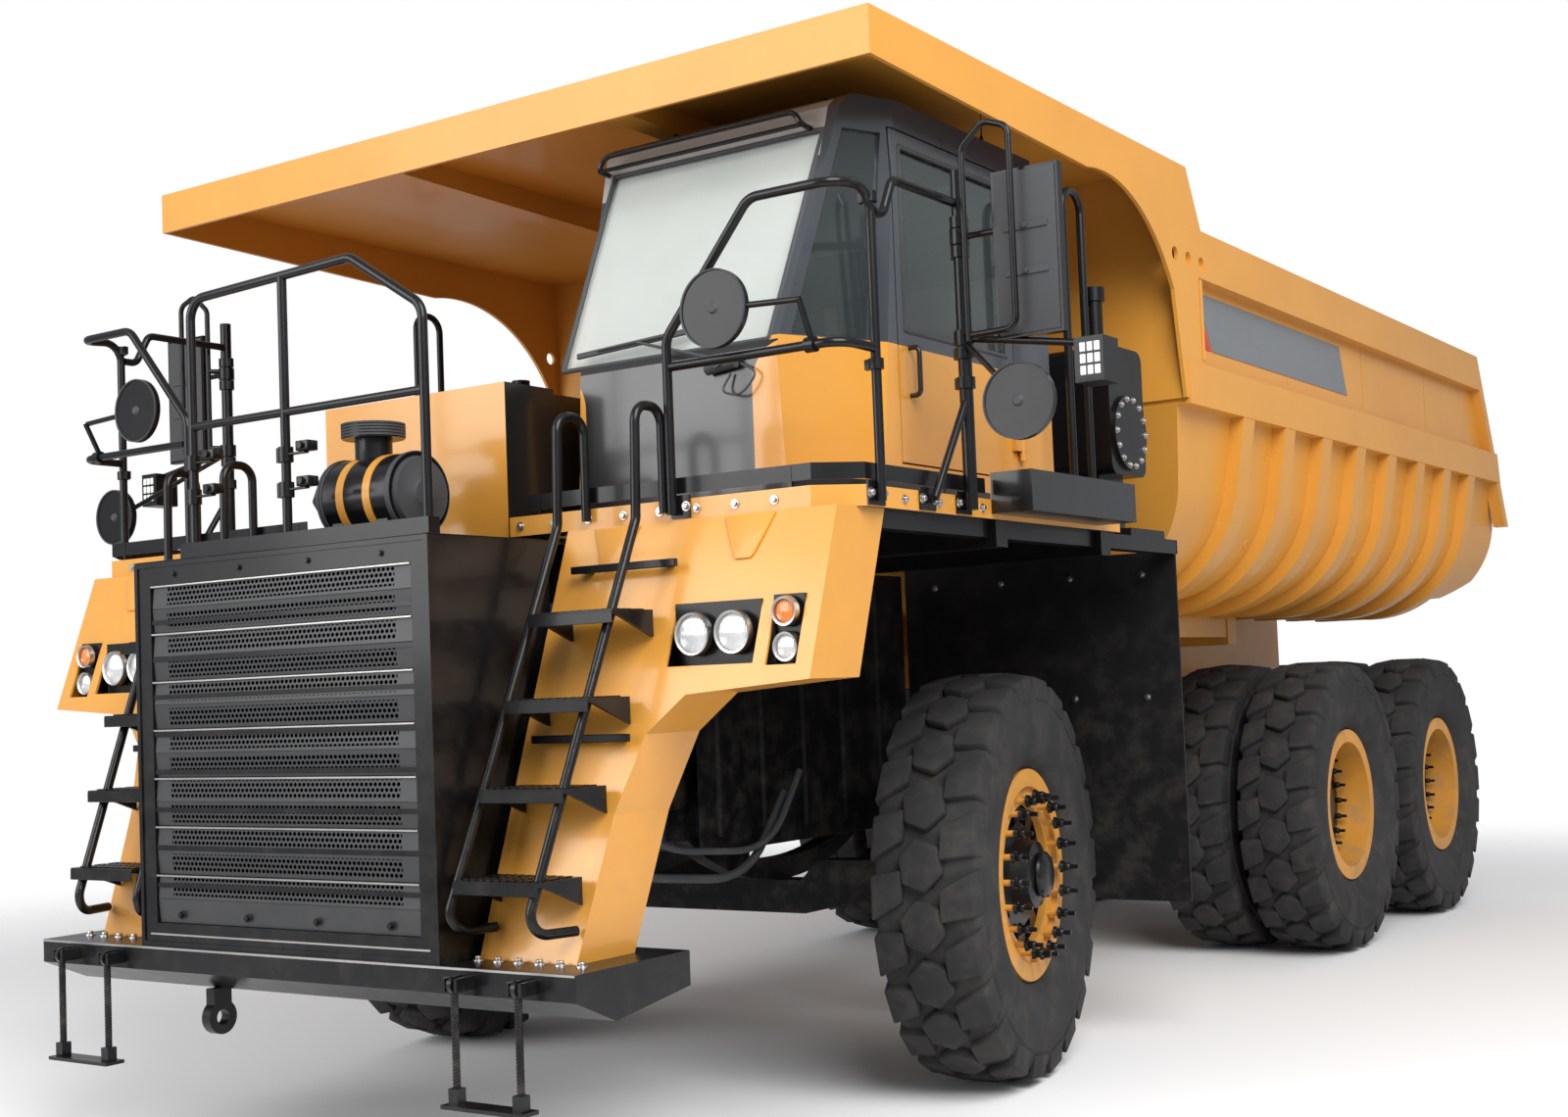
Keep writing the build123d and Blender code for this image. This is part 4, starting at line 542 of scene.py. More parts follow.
def joined(name, parts):
    """Several pieces made one."""
    clear()
    for part in parts:
        part.select_set(True)
    bpy.context.view_layer.objects.active = parts[0]
    bpy.ops.object.join()
    parts[0].name = name
    return parts[0]


def discard(*pieces):
    for piece in pieces:
        bpy.data.objects.remove(piece)


def spun(angle, axis="X"):
    """A turn about an axis through the origin."""
    return Matrix.Rotation(angle, 4, axis)


MIRROR = Matrix.Scale(-1, 4, (1, 0, 0))


def on_both_sides(name, piece):
    return joined(name, [piece, copied(piece, MIRROR)])


def finished(piece, body, material, smooth=35, replaces=()):
    """The last steps for every piece: smooth shading, finish, and the body that carries it."""
    pick(piece)
    bpy.ops.object.shade_smooth_by_angle(angle=math.radians(smooth))
    if not piece.data.materials:
        piece.data.materials.append(material)
    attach(piece, body)
    if replaces:
        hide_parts(*replaces)
    return piece


def fitted(name, parts, material=black_paint, body="chassis", both=False):
    """Parts made one piece, on both sides of the truck where asked, and finished."""
    piece = joined(name, parts)
    return finished(on_both_sides(name, piece) if both else piece, body, material)


# Tyres: carcass, six-sided blocks round the middle and lugs over both shoulders
TYRE_RADIUS = 0.9375
TREAD_TOP = 0.931  # height of blocks and lugs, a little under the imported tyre
LUG_SHIFT = 0.55  # of the pitch, from a block to the lug behind it
SHOULDER = 0.2455
LUGS = 22


def make_tyre():
    wall = [(0.174, 0.4193), (0.174, 0.492), (0.188, 0.500), (0.222, 0.545), (0.243, 0.62), (0.2495, 0.70)]
    wall += [(SHOULDER, 0.775), (0.2475, 0.782), (0.2465, 0.790), (0.241, 0.795), (0.236, 0.83)]
    wall += [(0.222, 0.868), (0.19, 0.884), (0.10, 0.891)]
    outline = wall + [(0, 0.893)] + [(-a, r) for a, r in reversed(wall)]
    carcass = turned("carcass", outline, 72)
    centre = bar("block", (0, 0, 0.880), (0, 0, TREAD_TOP), 0.118, 6)
    centre.data.transform(spun(math.radians(12), "Z"))
    centre.data.transform(Matrix.Scale(0.90, 4, (1, 0, 0)))
    eased(centre, 0.012, 2)
    lug = box("lug", (0.085, -0.098, 0.80), (SHOULDER, 0.098, TREAD_TOP))
    pull(lug, lambda c: c.x > 0.2 and c.z > 0.9, (-0.012, 0, -0.024))
    pull(lug, lambda c: c.x < 0.1 and c.y > 0, (0.0, -0.055, 0))
    pull(lug, lambda c: c.x > 0.2 and c.y < 0, (0, 0.028, 0))
    pull(lug, lambda c: c.x > 0.2 and c.y > 0, (0, 0.024, 0))
    pull(lug, lambda c: c.z < 0.85 and c.x < 0.1, (0, 0, 0.07))
    eased(lug, 0.013, 2)
    other = copied(lug, spun(math.pi, "Z"))
    parts = [carcass]
    pitch = 2 * math.pi / LUGS
    for index in range(LUGS):
        parts.append(copied(centre, spun(index * pitch)))
        parts.append(copied(lug, spun((index + LUG_SHIFT) * pitch)))
        parts.append(copied(other, spun((index + 1 - LUG_SHIFT) * pitch)))
    discard(centre, lug, other)
    return joined("tyre", parts)


FRONT_Y = -2.530
REAR_AXLES = ((1.998, "mid"), (4.086, "rear"))
FRONT_X, DUAL_X, DUAL_GAP = 1.610, 1.660, 0.572
KINGPIN, PARKED = 1.235, math.radians(9)


def at_wheel(side, axle_y, x, steer=0.0):
    """Where a wheel's middle stands; on the right the wheel is turned about to face outwards."""
    pivot = side * KINGPIN if steer else 0.0
    place = at((pivot, axle_y, TYRE_RADIUS)) @ spun(steer, "Z")
    place = place @ at((side * x - pivot, 0, 0))
    return place if side > 0 else place @ spun(math.pi, "Z")


def on_front_wheel(piece, side, word, name, material, smooth=35, replaces=()):
    twin = copied(piece, at_wheel(side, FRONT_Y, FRONT_X, PARKED))
    twin.name = name + word
    finished(twin, "wheel_front_" + word, material, smooth, replaces)


tyre = make_tyre()
for side, word in SIDES:
    stands_for = ["tyre_front_" + word]
    on_front_wheel(tyre, side, word, "dressed_tyre_front_", rubber, 40, stands_for)
    for axle_y, line in REAR_AXLES:
        wheel = line + "_" + word
        outer = copied(tyre, at_wheel(side, axle_y, DUAL_X))
        inner = copied(tyre, at_wheel(side, axle_y, DUAL_X - DUAL_GAP) @ spun(0.11))
        pair = joined("dressed_tyres_" + wheel, [outer, inner])
        finished(pair, "wheels_" + wheel, rubber, 40, ["tyres_" + wheel])
discard(tyre)


# Wheel nuts, and the plates and caps of the rear hubs
def make_nuts(name, count, radius, x, reach):
    """A ring of studs with their nuts, standing out along X."""
    nut = bar("nut", (x, 0, radius), (x + reach * 0.55, 0, radius), 0.021, 6)
    eased(nut, 0.003, 1)
    stud = bar("stud", (x, 0, radius), (x + reach, 0, radius), 0.0125, 10, 0.010)
    collar = bar("collar", (x - 0.004, 0, radius), (x + 0.012, 0, radius), 0.030, 12, 0.026)
    one = joined("one", [nut, stud, collar])
    ring = [copied(one, spun(2 * math.pi * i / count)) for i in range(count)]
    discard(one)
    return joined(name, ring)


NUTS = 20
front_nuts = make_nuts("front_nuts", NUTS, 0.361, 0.225, 0.078)
rear_nuts = make_nuts("rear_nuts", NUTS, 0.335, -0.030, 0.085)
hub_outline = [(-0.20, 0.0), (-0.20, 0.230), (-0.058, 0.235), (-0.058, 0.395), (-0.030, 0.400)]
hub_outline += [(-0.028, 0.262), (-0.012, 0.250), (-0.008, 0.180), (0.030, 0.165), (0.034, 0.100)]
hub_outline += [(0.050, 0.092), (0.052, 0.0)]
rear_hub = turned("rear_hub", hub_outline, 56)
for side, word in SIDES:
    on_front_wheel(front_nuts, side, word, "front_wheel_nuts_", black_paint)
    for axle_y, line in REAR_AXLES:
        wheel = line + "_" + word
        parts = [copied(one, at_wheel(side, axle_y, DUAL_X)) for one in (rear_nuts, rear_hub)]
        fitted("wheel_hub_" + wheel, parts, black_paint, "wheels_" + wheel)
discard(front_nuts, rear_nuts, rear_hub)


# Grille: punched sheets between bright trims, inside the housing's frame
GRILLE_FACE = -5.302
GRILLE_LOW, GRILLE_HIGH = 0.976, 2.364
GRILLE_HALF = 0.752
BANDS = 14
BAND = (GRILLE_HIGH - GRILLE_LOW) / BANDS
HOLE_PITCH, HOLE_SIZE = 0.0245, 0.37  # metres, and radius as a share of the pitch


def make_punched_sheet():
    """Black sheet with rows of staggered round holes, painted near-black as painted shade, kept to bands
    like the real one's.
    """
    dark, darker = (0.024, 0.025, 0.027, 1), (0.017, 0.018, 0.020, 1)
    material = weathered("punched_sheet", dark, darker, 0.34, 0.4, 0.05, 120.0, 0.03)
    tree, place = material.node_tree, own_place(material)
    shader = tree.nodes["Principled BSDF"]
    pattern = put(tree, "ShaderNodeGroup", node_tree=holes)
    fill(pattern, {"Pitch": HOLE_PITCH, "Size": HOLE_SIZE})
    wire(tree, place, pattern.inputs["Place"])
    row = maths(tree, "DIVIDE", maths(tree, "SUBTRACT", along(tree, place, "Z"), GRILLE_LOW), BAND)
    part = maths(tree, "FRACT", row)
    band = times(tree, maths(tree, "GREATER_THAN", part, 0.14), maths(tree, "LESS_THAN", part, 0.86))
    wide = zone(tree, place, "X", -0.66, 0.66)
    field = times(tree, wide, zone(tree, place, "Z", GRILLE_LOW + BAND, 3.0))
    mask = times(tree, pattern.outputs["Mask"], times(tree, field, band))
    # Painted shade: the holes are not cut, so they are painted near-black and left without sheen
    sheen = times(tree, maths(tree, "SUBTRACT", 1.0, mask), 0.5)
    wire(tree, sheen, shader.inputs["Specular IOR Level"])
    return repainted(material, [(mask, (0.0008, 0.0008, 0.0008, 1))])


punched_sheet = make_punched_sheet()
sheets = []
for index in range(BANDS):
    low = GRILLE_LOW + index * BAND
    middle = low + BAND / 2
    is_upper = index % 2 == 1
    top = low + BAND - (0.004 if is_upper else 0)
    sheet = box("sheet", (-GRILLE_HALF, GRILLE_FACE + 0.004, low), (GRILLE_HALF, GRILLE_FACE + 0.016, top))
    pull(sheet, lambda c: (c.z > middle) == is_upper, (0, 0.007, 0))
    sheets.append(eased(sheet, 0.002, 1))
fitted("grille_sheets", sheets, punched_sheet)
trims = []
for index in range(2, BANDS + 1, 2):
    z = GRILLE_LOW + index * BAND
    low = (-GRILLE_HALF, GRILLE_FACE - 0.005, z - 0.0095)
    trims.append(block("trim", low, (GRILLE_HALF, GRILLE_FACE + 0.008, z - 0.0015)))
trims.append(block("trim", (-0.80, GRILLE_FACE - 0.003, 0.925), (0.80, GRILLE_FACE + 0.002, 0.935)))
fitted("grille_trims", trims, bright_steel)
lid = block("housing_lid", (-0.845, -5.312, 2.4595), (0.845, -4.66, 2.4645), 0.002, 2)
finished(lid, "chassis", black_paint)


# Bolt heads, made once and set wherever a row of them shows
def make_bolt():
    washer = bar("washer", (0, 0, 0), (0, 0, 0.004), 0.019, 14, 0.018)
    head = bar("head", (0, 0, 0.003), (0, 0, 0.015), 0.0125, 6)
    return joined("bolt", [washer, eased(head, 0.002, 1)])


def bolts(name, places, aim, material=bright_steel, size=1.0):
    """Bolt heads at the places given, all facing one way."""
    heads = [copied(bolt, at(p) @ towards(aim) @ Matrix.Scale(size, 4)) for p in places]
    return fitted(name, heads, material)


def side_bolts(name, places, size=1.0):
    """The same row of bolt heads on the left and on the right, facing outwards."""
    for side, word in SIDES:
        bolts(name.format(word), [(side * x, y, z) for x, y, z in places], (side, 0, 0), size=size)


bolt = make_bolt()
DECK_FRONT_Y, DECK_SIDE_X, DECK_EDGE_Z = -4.541, 2.191, 2.54
columns = (0.62, 0.80, 0.98, 1.16, 1.34, 1.52, 1.70, 1.88)
deck_edge = [(side * x, DECK_FRONT_Y, DECK_EDGE_Z) for side in (-1, 1) for x in columns]
bolts("deck_front_bolts", deck_edge, (0, -1, 0))
deck_edge = [(DECK_SIDE_X, y, DECK_EDGE_Z) for y in (-4.30, -4.12, -3.86, -3.50, -3.0, -2.6)]
side_bolts("deck_{}_bolts", deck_edge)
foot = [(side * x, -5.16, 0.8805) for side in (-1, 1) for x in (0.90, 1.0, 1.10, 1.20, 1.30, 1.40)]
bolts("panel_foot_bolts", foot, (0, 0, 1), size=1.2)

# Body: the slanted grey band with its red end, in the recess of the side wall
BAND_X = 2.0580


def band_piece(name, corners):
    """A thin flat piece from (y, z) corners, standing just proud of the body's side."""
    return plate(name, [(BAND_X, y, z) for y, z in corners], 0.003, 1.0)


band = band_piece("side_band", [(-0.755, 3.86), (-0.555, 3.56), (1.72, 3.56), (1.60, 3.86)])
band_end = band_piece("side_band_end", [(-0.845, 3.86), (-0.645, 3.56), (-0.575, 3.56), (-0.775, 3.86)])
band_grey = weathered("band_grey", (0.16, 0.17, 0.18, 1), (0.12, 0.13, 0.14, 1), 0.35, 0.4, 0.3)
band_red = weathered("band_red", (0.50, 0.03, 0.025, 1), (0.40, 0.02, 0.02, 1), 0.35, 0.4, 0.3)
finished(on_both_sides("side_bands", band), "tipping_body", band_grey)
finished(on_both_sides("side_band_ends", band_end), "tipping_body", band_red)


# Lamps: clear round lenses in bright rings, with amber signals above
def make_lens(name, colour, glow):
    material, tree, shader, place = new_material(name)
    fine = noise(tree, place, 90.0, 2.0)
    deeper = tuple(0.7 * c for c in colour[:3]) + (1,)
    wire(tree, blended(tree, fine, colour, deeper), shader.inputs["Base Color"])
    ribs = put(tree, "ShaderNodeTexWave", {"Scale": 38.0, "Distortion": 0.3}, bands_direction="X")
    wire(tree, place, ribs.inputs["Vector"])
    bumped(tree, shader, ribs.outputs["Fac"], 0.5, 0.002)
    fill(shader, {"Roughness": 0.12, "Coat Weight": 1.0, "Metallic": glow})
    return material


clear_lens = make_lens("clear_lens", (0.85, 0.86, 0.86, 1), 0.35)
amber_lens = make_lens("amber_lens", (0.85, 0.22, 0.02, 1), 0.0)
red_lens = make_lens("red_lens", (0.6, 0.02, 0.015, 1), 0.0)
LAMP_Y = -4.68
LAMP_X, LAMP_Z = 2.0225, (1.9888, 2.1163)  # the small lamp and the signal above it
WIDE_Z = 2.0525


def lens(x, y, z, radius, depth):
    """A domed lens facing forwards, spun from its profile."""
    outline = [(0, 0), (-depth, 0), (-depth * 0.85, radius * 0.5)]
    outline += [(-depth * 0.4, radius * 0.86), (0, radius)]
    return moved(turned("lens", outline, 40, (0, 1, 0)), (x, y, z))


def bezel(x, y, z, radius):
    outline = [(0.004, radius - 0.004), (-0.016, radius - 0.002)]
    outline += [(-0.018, radius + 0.006), (0.004, radius + 0.010)]
    return moved(turned("bezel", outline, 40, (0, 1, 0)), (x, y, z))


for side, word in SIDES:
    wide = [(side * (1.505 + at * 0.395), LAMP_Y - 0.0302, WIDE_Z) for at in (0.27, 0.73)]
    small, signal = [(side * LAMP_X, LAMP_Y - 0.0242, z) for z in LAMP_Z]
    front = [lens(*spot, 0.072, 0.016) for spot in wide] + [lens(*small, 0.046, 0.012)]
    fitted("headlamp_lenses_" + word, front, clear_lens)
    amber = lens(*signal, 0.046, 0.012)
    amber.name = "signal_lens_" + word
    finished(amber, "chassis", amber_lens)
    rings = [bezel(*spot, 0.073) for spot in wide] + [bezel(*spot, 0.047) for spot in (small, signal)]
    fitted("lamp_rings_" + word, rings, bright_steel)


# Stairs: raised cleats and a folded lip on each tread, and the bars that tie the handrails to the panel
TREADS, FIRST_TREAD, RISE = 4, 1.188, 0.322
CLEAT_ROWS, CLEAT_COLUMNS = 3, 10


def panel_y(z):
    """The stair panel's front face at height z."""
    return -5.130 + (z - 0.880) * 0.358


def make_treads():
    cleat = block("cleat", (-0.012, -0.026, 0), (0.012, 0.026, 0.006))
    parts = []
    for index in range(TREADS):
        top = FIRST_TREAD + RISE * index
        back = panel_y(top - 0.118)
        inner = 0.920 + 0.032 * index
        for row in range(CLEAT_ROWS):
            for column in range(CLEAT_COLUMNS):
                place = (inner + 0.036 + column * 0.0375, back - 0.048 - row * 0.070, top - 0.001)
                parts.append(copied(cleat, at(place)))
        low, high = (inner, back - 0.2435, top - 0.050), (inner + 0.410, back - 0.2385, top - 0.006)
        parts.append(block("lip", low, high, 0.0015))
    discard(cleat)
    for top, inner, outer in ((2.315, 0.985, 1.500), (1.665, 0.960, 1.430)):
        y = panel_y(top)
        parts.append(block("tie", (inner, y - 0.052, top), (outer, y - 0.030, top + 0.030), 0.003))
        for x in (inner + 0.06, outer - 0.06):
            parts.append(box("stand", (x - 0.02, y - 0.032, top), (x + 0.02, y + 0.006, top + 0.026)))
    return joined("stair_details", parts)


finished(on_both_sides("stair_details", make_treads()), "chassis", black_paint)


# Deck edges: a kick strip behind the posts, and gussets under the front edge
path = [(0.66, -4.532), (2.040, -4.532), (2.183, -4.388), (2.183, -3.46)]
corners = [(x, y, z) for x, y in path for z in (2.602, 2.664)]
walls = [(2 * i, 2 * i + 2, 2 * i + 3, 2 * i + 1) for i in range(len(path) - 1)]
strips = [plate("kick_strip", corners, 0.007, faces=walls)]
for x, y in ((0.72, -4.529), (1.35, -4.529), (1.95, -4.529), (2.180, -4.30), (2.180, -3.80)):
    strips.append(box("stand", (x - 0.012, y - 0.008, 2.575), (x + 0.006, y + 0.008, 2.66)))
fitted("kick_strips", strips, both=True)


def gusset(x):
    """A tapered stiffening plate pressed on the panel under the deck's edge."""
    half = [(0.115, 2.492), (0.050, 2.345), (0.035, 2.325)]
    outline = [(x - 0.115, 2.492)] + [(x + a, z) for a, z in half] + [(x - a, z) for a, z in half[:0:-1]]
    corners = [(a, panel_y(z) - 0.004, z) for a, z in outline]
    return eased(plate("gusset", corners, 0.012), 0.003, 2)


fitted("deck_gussets", [gusset(1.14), gusset(1.78)], body_paint, both=True)

# Bumper: a bright steel strip along its edge, a painted highlight
edge = block("bumper_highlight_strip", (-1.502, -5.3225, 0.8700), (1.502, -5.3190, 0.8795), 0.0012)
finished(edge, "chassis", bright_steel)


# Hanging steps: the straps are laid wire rope over their rods
def rope(length, radius=0.0092, strand=0.0056, turns=9):
    """Three strands laid round an upright middle."""
    parts = []
    count = 12 * turns
    for start in range(3):
        points = []
        for i in range(count + 1):
            angle = 2 * math.pi * (start / 3 + turns * i / count)
            points.append((radius * math.cos(angle), radius * math.sin(angle), length * i / count))
        parts.append(bent_tube("strand", points, strand, bend=0.001, steps=1))
    return joined("rope", parts)


one_rope = rope(0.325)
for side, word in SIDES:
    ropes = []
    for x in (-0.1525, 0.1525):
        ropes.append(copied(one_rope, at((side * 1.140 + x, -5.380, 0.470))))
    finished(joined("step_ropes_" + word, ropes), "hanging_step_" + word, chassis_paint, 60)
discard(one_rope)


# Windscreen wiper, brow rail, seals, lifting eyes and aerial on the cab
def brow_y(z):
    """The windscreen's plane at height z."""
    return -4.200 + (z - 3.190) * 0.3592


height = brow_y(3.275)
blade = box("blade", (0.66, height - 0.034, 3.262), (1.26, height - 0.016, 3.286))
pull(blade, lambda c: c.x > 1.0, (0, 0.012, 0.034))
wiper = [eased(blade, 0.003, 1)]
for name, start, end, radius, sides, end_radius in (
    ("arm", (1.425, brow_y(3.15) - 0.045, 3.160), (0.99, brow_y(3.29) - 0.042, 3.292), 0.008, 10, 0.006),
    ("spine", (0.78, brow_y(3.28) - 0.040, 3.284), (1.16, brow_y(3.30) - 0.040, 3.302), 0.005, 8, None),
    ("motor", (1.425, -4.196, 3.155), (1.425, -4.262, 3.148), 0.030, 20, 0.024),
    ("motor_body", (1.36, -4.225, 3.130), (1.50, -4.225, 3.145), 0.026, 16, None),
):
    wiper.append(bar(name, start, end, radius, sides, end_radius))
jet = [(1.47, -4.215, 3.10), (1.43, -4.235, 3.03), (1.53, -4.240, 3.00)]
jet += [(1.61, -4.225, 3.09), (1.52, -4.215, 3.135)]
wiper.append(bent_tube("jet_line", jet, 0.005, 0.06, 6))
fitted("wiper", wiper, trim_plastic)

left_x, right_x = 1.67, 0.60
low_y, high_y = brow_y(4.12), brow_y(4.17) - 0.080
rail = [(right_x, low_y, 4.13), (right_x, low_y - 0.075, 4.135), (0.63, high_y, 4.195)]
rail += [(1.63, high_y, 4.195), (left_x, low_y - 0.075, 4.135), (left_x, low_y, 4.13)]
brow = [bent_tube("brow_rail", rail, 0.012, 0.05, 6)]
rail = [(x, low_y - 0.070, 4.132) for x in (right_x, left_x)]
brow.append(bent_tube("brow_rail_low", rail, 0.010))
angles = [i * math.pi / 4 for i in range(8)]
for x in (1.60, 0.80):
    eye = turned("eye", [(0.008 * math.cos(a), 0.032 + 0.008 * math.sin(a)) for a in angles], 28)
    brow.append(moved(eye, (x, -3.62, 4.292)))
brow.append(bar("aerial", (1.80, -2.62, 4.262), (1.80, -2.62, 4.345), 0.016, 14, 0.008))
brow.append(bar("whip", (1.80, -2.62, 4.34), (1.80, -2.62, 4.452), 0.004, 8, 0.002))
fitted("roof_fittings", brow)


def seal(name, corners, width=0.011):
    """A rubber seal that runs round a window."""
    run = [bar("edge", a, b, width, 8) for a, b in zip(corners, corners[1:] + corners[:1])]
    return joined(name, run)


def pane(front, rear, low, high):
    return ((front, low), (rear, low), (rear, high), (front, high))


shield = ((0.570, 3.222), (1.640, 3.222), (1.730, 4.118), (0.630, 4.118))
front_seal = seal("front_seal", [(x, brow_y(z) + 0.004, z) for x, z in shield])
side_seal = seal("side_seal", [(0.4595, y, z) for y, z in pane(-3.50, -2.66, 3.30, 4.08)])
fitted("cab_seals", [front_seal, side_seal], trim_plastic)
door_seal = seal("door_seal", [(1.897, y, z) for y, z in pane(-3.56, -2.66, 3.30, 4.08)])
finished(door_seal, "cab_door", trim_plastic)


# Mirrors: silvered faces towards the driver, rims and ball joints on their backs
silver_glass = weathered(
    "silver_glass", (0.80, 0.82, 0.83, 1), (0.74, 0.76, 0.78, 1), 0.04, 0.2, 0.0, 60.0, 0.0, metal=1.0
)
faces = [block("tall_face", (2.408, -3.6405, 3.198), (2.662, -3.6370, 3.832), 0.001)]
for x, y, z, radius in ((2.660, -4.030, 2.870, 0.134), (1.700, -4.615, 3.270, 0.138)):
    faces.append(bar("round_face", (x, y, z), (x, y + 0.004, z), radius, 56, radius - 0.002))
fitted("mirror_faces", faces, silver_glass, both=True)
backs = []
for x, y, z, radius in ((2.660, -4.060, 2.870, 0.145), (1.700, -4.639, 3.270, 0.150)):
    outline = [(0.0, radius - 0.006), (-0.006, radius - 0.006), (-0.008, radius), (0.0, radius)]
    backs.append(moved(turned("rim", outline, 56, (0, 1, 0)), (x, y, z)))
    backs.append(bar("ball", (x, y + 0.004, z), (x, y - 0.010, z), 0.026, 16, 0.016))
backs.append(block("tall_back", (2.402, -3.6855, 3.192), (2.668, -3.679, 3.838), 0.003, 2))
for z in (3.42, 3.60):
    backs.append(block("tall_bar", (2.44, -3.692, z), (2.63, -3.684, z + 0.03)))
for z in (3.435, 3.615):
    backs.append(bar("stud", (2.535, -3.684, z), (2.535, -3.700, z), 0.011, 6))
fitted("mirror_backs", backs, trim_plastic, both=True)
lights = []
for z in (3.005, 3.050, 3.095):
    for x in (2.775, 2.805, 2.835):
        lights.append(block("cell", (x - 0.012, -3.733, z - 0.018), (x + 0.012, -3.728, z + 0.018)))
fitted("work_light_cells", lights, clear_lens, both=True)


# Clamps on the rails, and small cameras on the rail over the radiator
def clamp(x, y, z, radius=0.020, tall=0.060):
    """A split collar round an upright rail, with its ear."""
    outer, half = radius + 0.010, tall / 2
    outline = [(-half, radius), (-half, outer), (half, outer), (half, radius)]
    ring = moved(turned("collar", outline, 24, (0, 0, 1)), (x, y, z))
    ear = block("ear", (x - 0.046, y - 0.012, z - half), (x - 0.022, y + 0.012, z + half))
    return [ring, ear]


clamps = []
for z in (3.03, 3.15, 3.56, 3.68):
    clamps += clamp(2.228, -3.660, z, 0.0285, 0.046)
for z in (3.03, 3.66):
    clamps += clamp(2.217, -4.330, z, 0.0195, 0.040)
fitted("post_clamps", clamps, both=True)
clamps = []
for x, z in ((-0.54, 2.72), (-0.54, 2.86), (0.02, 2.70), (0.02, 2.84)):
    clamps += clamp(x, -5.240, z)
    arm = block("arm", (x + 0.018, -5.252, z - 0.004), (x + 0.120, -5.228, z + 0.004), 0.001)
    body = block("camera", (x + 0.085, -5.268, z + 0.004), (x + 0.155, -5.212, z + 0.044), 0.004, 2)
    eye = bar("camera_eye", (x + 0.120, -5.266, z + 0.024), (x + 0.120, -5.282, z + 0.024), 0.014, 16)
    clamps += [arm, body, eye]
fitted("rail_cameras", clamps)


# Air cleaner: ribs and end cap, orange straps, intake hood with fins, and its duct
DRUM_Y, DRUM_Z = -4.930, 2.669


def hoop(name, half, inner, outer, steps, place, axis=(1, 0, 0)):
    """A flat ring round the drum or its intake."""
    outline = [(-half, inner), (-half, outer), (half, outer), (half, inner)]
    return moved(turned(name, outline, steps, axis), place)


cleaner = []
for x, radius in ((0.036, 0.170), (0.052, 0.168), (0.420, 0.168), (0.434, 0.170)):
    cleaner.append(hoop("rib", 0.006, 0.160, radius, 56, (x, DRUM_Y, DRUM_Z)))
cap = turned("cap", [(0, 0), (0, 0.150), (0.018, 0.140), (0.026, 0.060), (0.034, 0.050), (0.036, 0)], 56)
cleaner.append(moved(cap, (0.439, DRUM_Y, DRUM_Z)))
for step in range(5):
    spot = (0.190, DRUM_Y, 2.918 + step * 0.012)
    cleaner.append(hoop("fin", 0.004, 0.110, 0.129, 48, spot, (0, 0, 1)))
duct = [(0.04, DRUM_Y, 2.70), (-0.10, DRUM_Y, 2.70), (-0.20, -4.80, 2.66), (-0.20, -4.56, 2.66)]
cleaner.append(bent_tube("duct", duct, 0.062, 0.14, 8))
fitted("air_cleaner_fittings", cleaner, trim_plastic)
straps = [hoop("strap", 0.020, 0.164, 0.1685, 64, (x, DRUM_Y, DRUM_Z)) for x in (0.16, 0.31)]
fitted("air_cleaner_straps", straps, body_paint)

# Bolts on the tank covers, the mud flaps, the grille and the foot plates of the rails
COVER_Y, COVER_Z, COVER_RING = -1.70, 3.020, 0.166
rounds = [i * math.pi / 7 for i in range(14)]
cover = [(2.068, COVER_Y + COVER_RING * math.cos(a), COVER_Z + COVER_RING * math.sin(a)) for a in rounds]
side_bolts("tank_bolts_{}", cover, 0.9)
flap = [(side * x, -1.3848, z) for side in (-1, 1) for x in (0.75, 1.15, 1.55, 1.95) for z in (1.72, 2.34)]
bolts("flap_bolts", flap, (0, -1, 0))
studs = [(x, GRILLE_FACE - 0.001, z) for x in (-0.6, -0.2, 0.2, 0.6) for z in (1.012, 2.405)]
bolts("grille_bolts", studs, (0, -1, 0), black_paint, size=0.9)
plates = [(side * x, -4.5480, 2.55) for side in (-1, 1) for x in (1.405, 1.475)]
bolts("foot_plate_bolts", plates, (0, -1, 0), size=1.1)
plates = [(2.198, y + e, 2.55) for y in (-4.330, -3.660, -3.950) for e in (-0.045, 0.045)]
side_bolts("side_plate_bolts_{}", plates, 1.1)

# Body: plug holes between the ribs, set on the body's own surface, and seams on its sides
tub = nodes["dump_tub"]


def tub_side(y, z):
    """The outermost X of the body's left side at a height and length."""
    found, spot, normal, _ = tub.ray_cast(Vector((FAR, y, z)), Vector((-1, 0, 0)))
    return (spot.x, normal) if found else (2.05, Vector((1, 0, 0)))


plugs = []
for y in (0.255, 2.235, 3.555):
    for z in (2.56, 3.06):
        x, out = tub_side(y, z)
        outline = [(-0.004, 0.018), (-0.004, 0.027), (0.003, 0.026), (0.003, 0.018)]
        rim = turned("plug", outline, 24, (0, 0, 1))
        well = bar("well", (0, 0, -0.004), (0, 0, 0.0008), 0.019, 24)
        for part in (rim, well):
            part.data.transform(at((x, y, z)) @ towards(out))
            plugs.append(part)
fitted("body_plugs", plugs, body_paint, "tipping_body", True)
seams = [block("fuel_lip", (2.1275, -0.870, 3.470), (2.1345, -0.845, 3.90))]
for y in (0.62, 2.05, 3.48):
    seams.append(block("seam", (2.0575, y - 0.004, 3.510), (2.0592, y + 0.004, 3.900), 0.0005))
fitted("body_seams", seams, body_paint, "tipping_body", True)

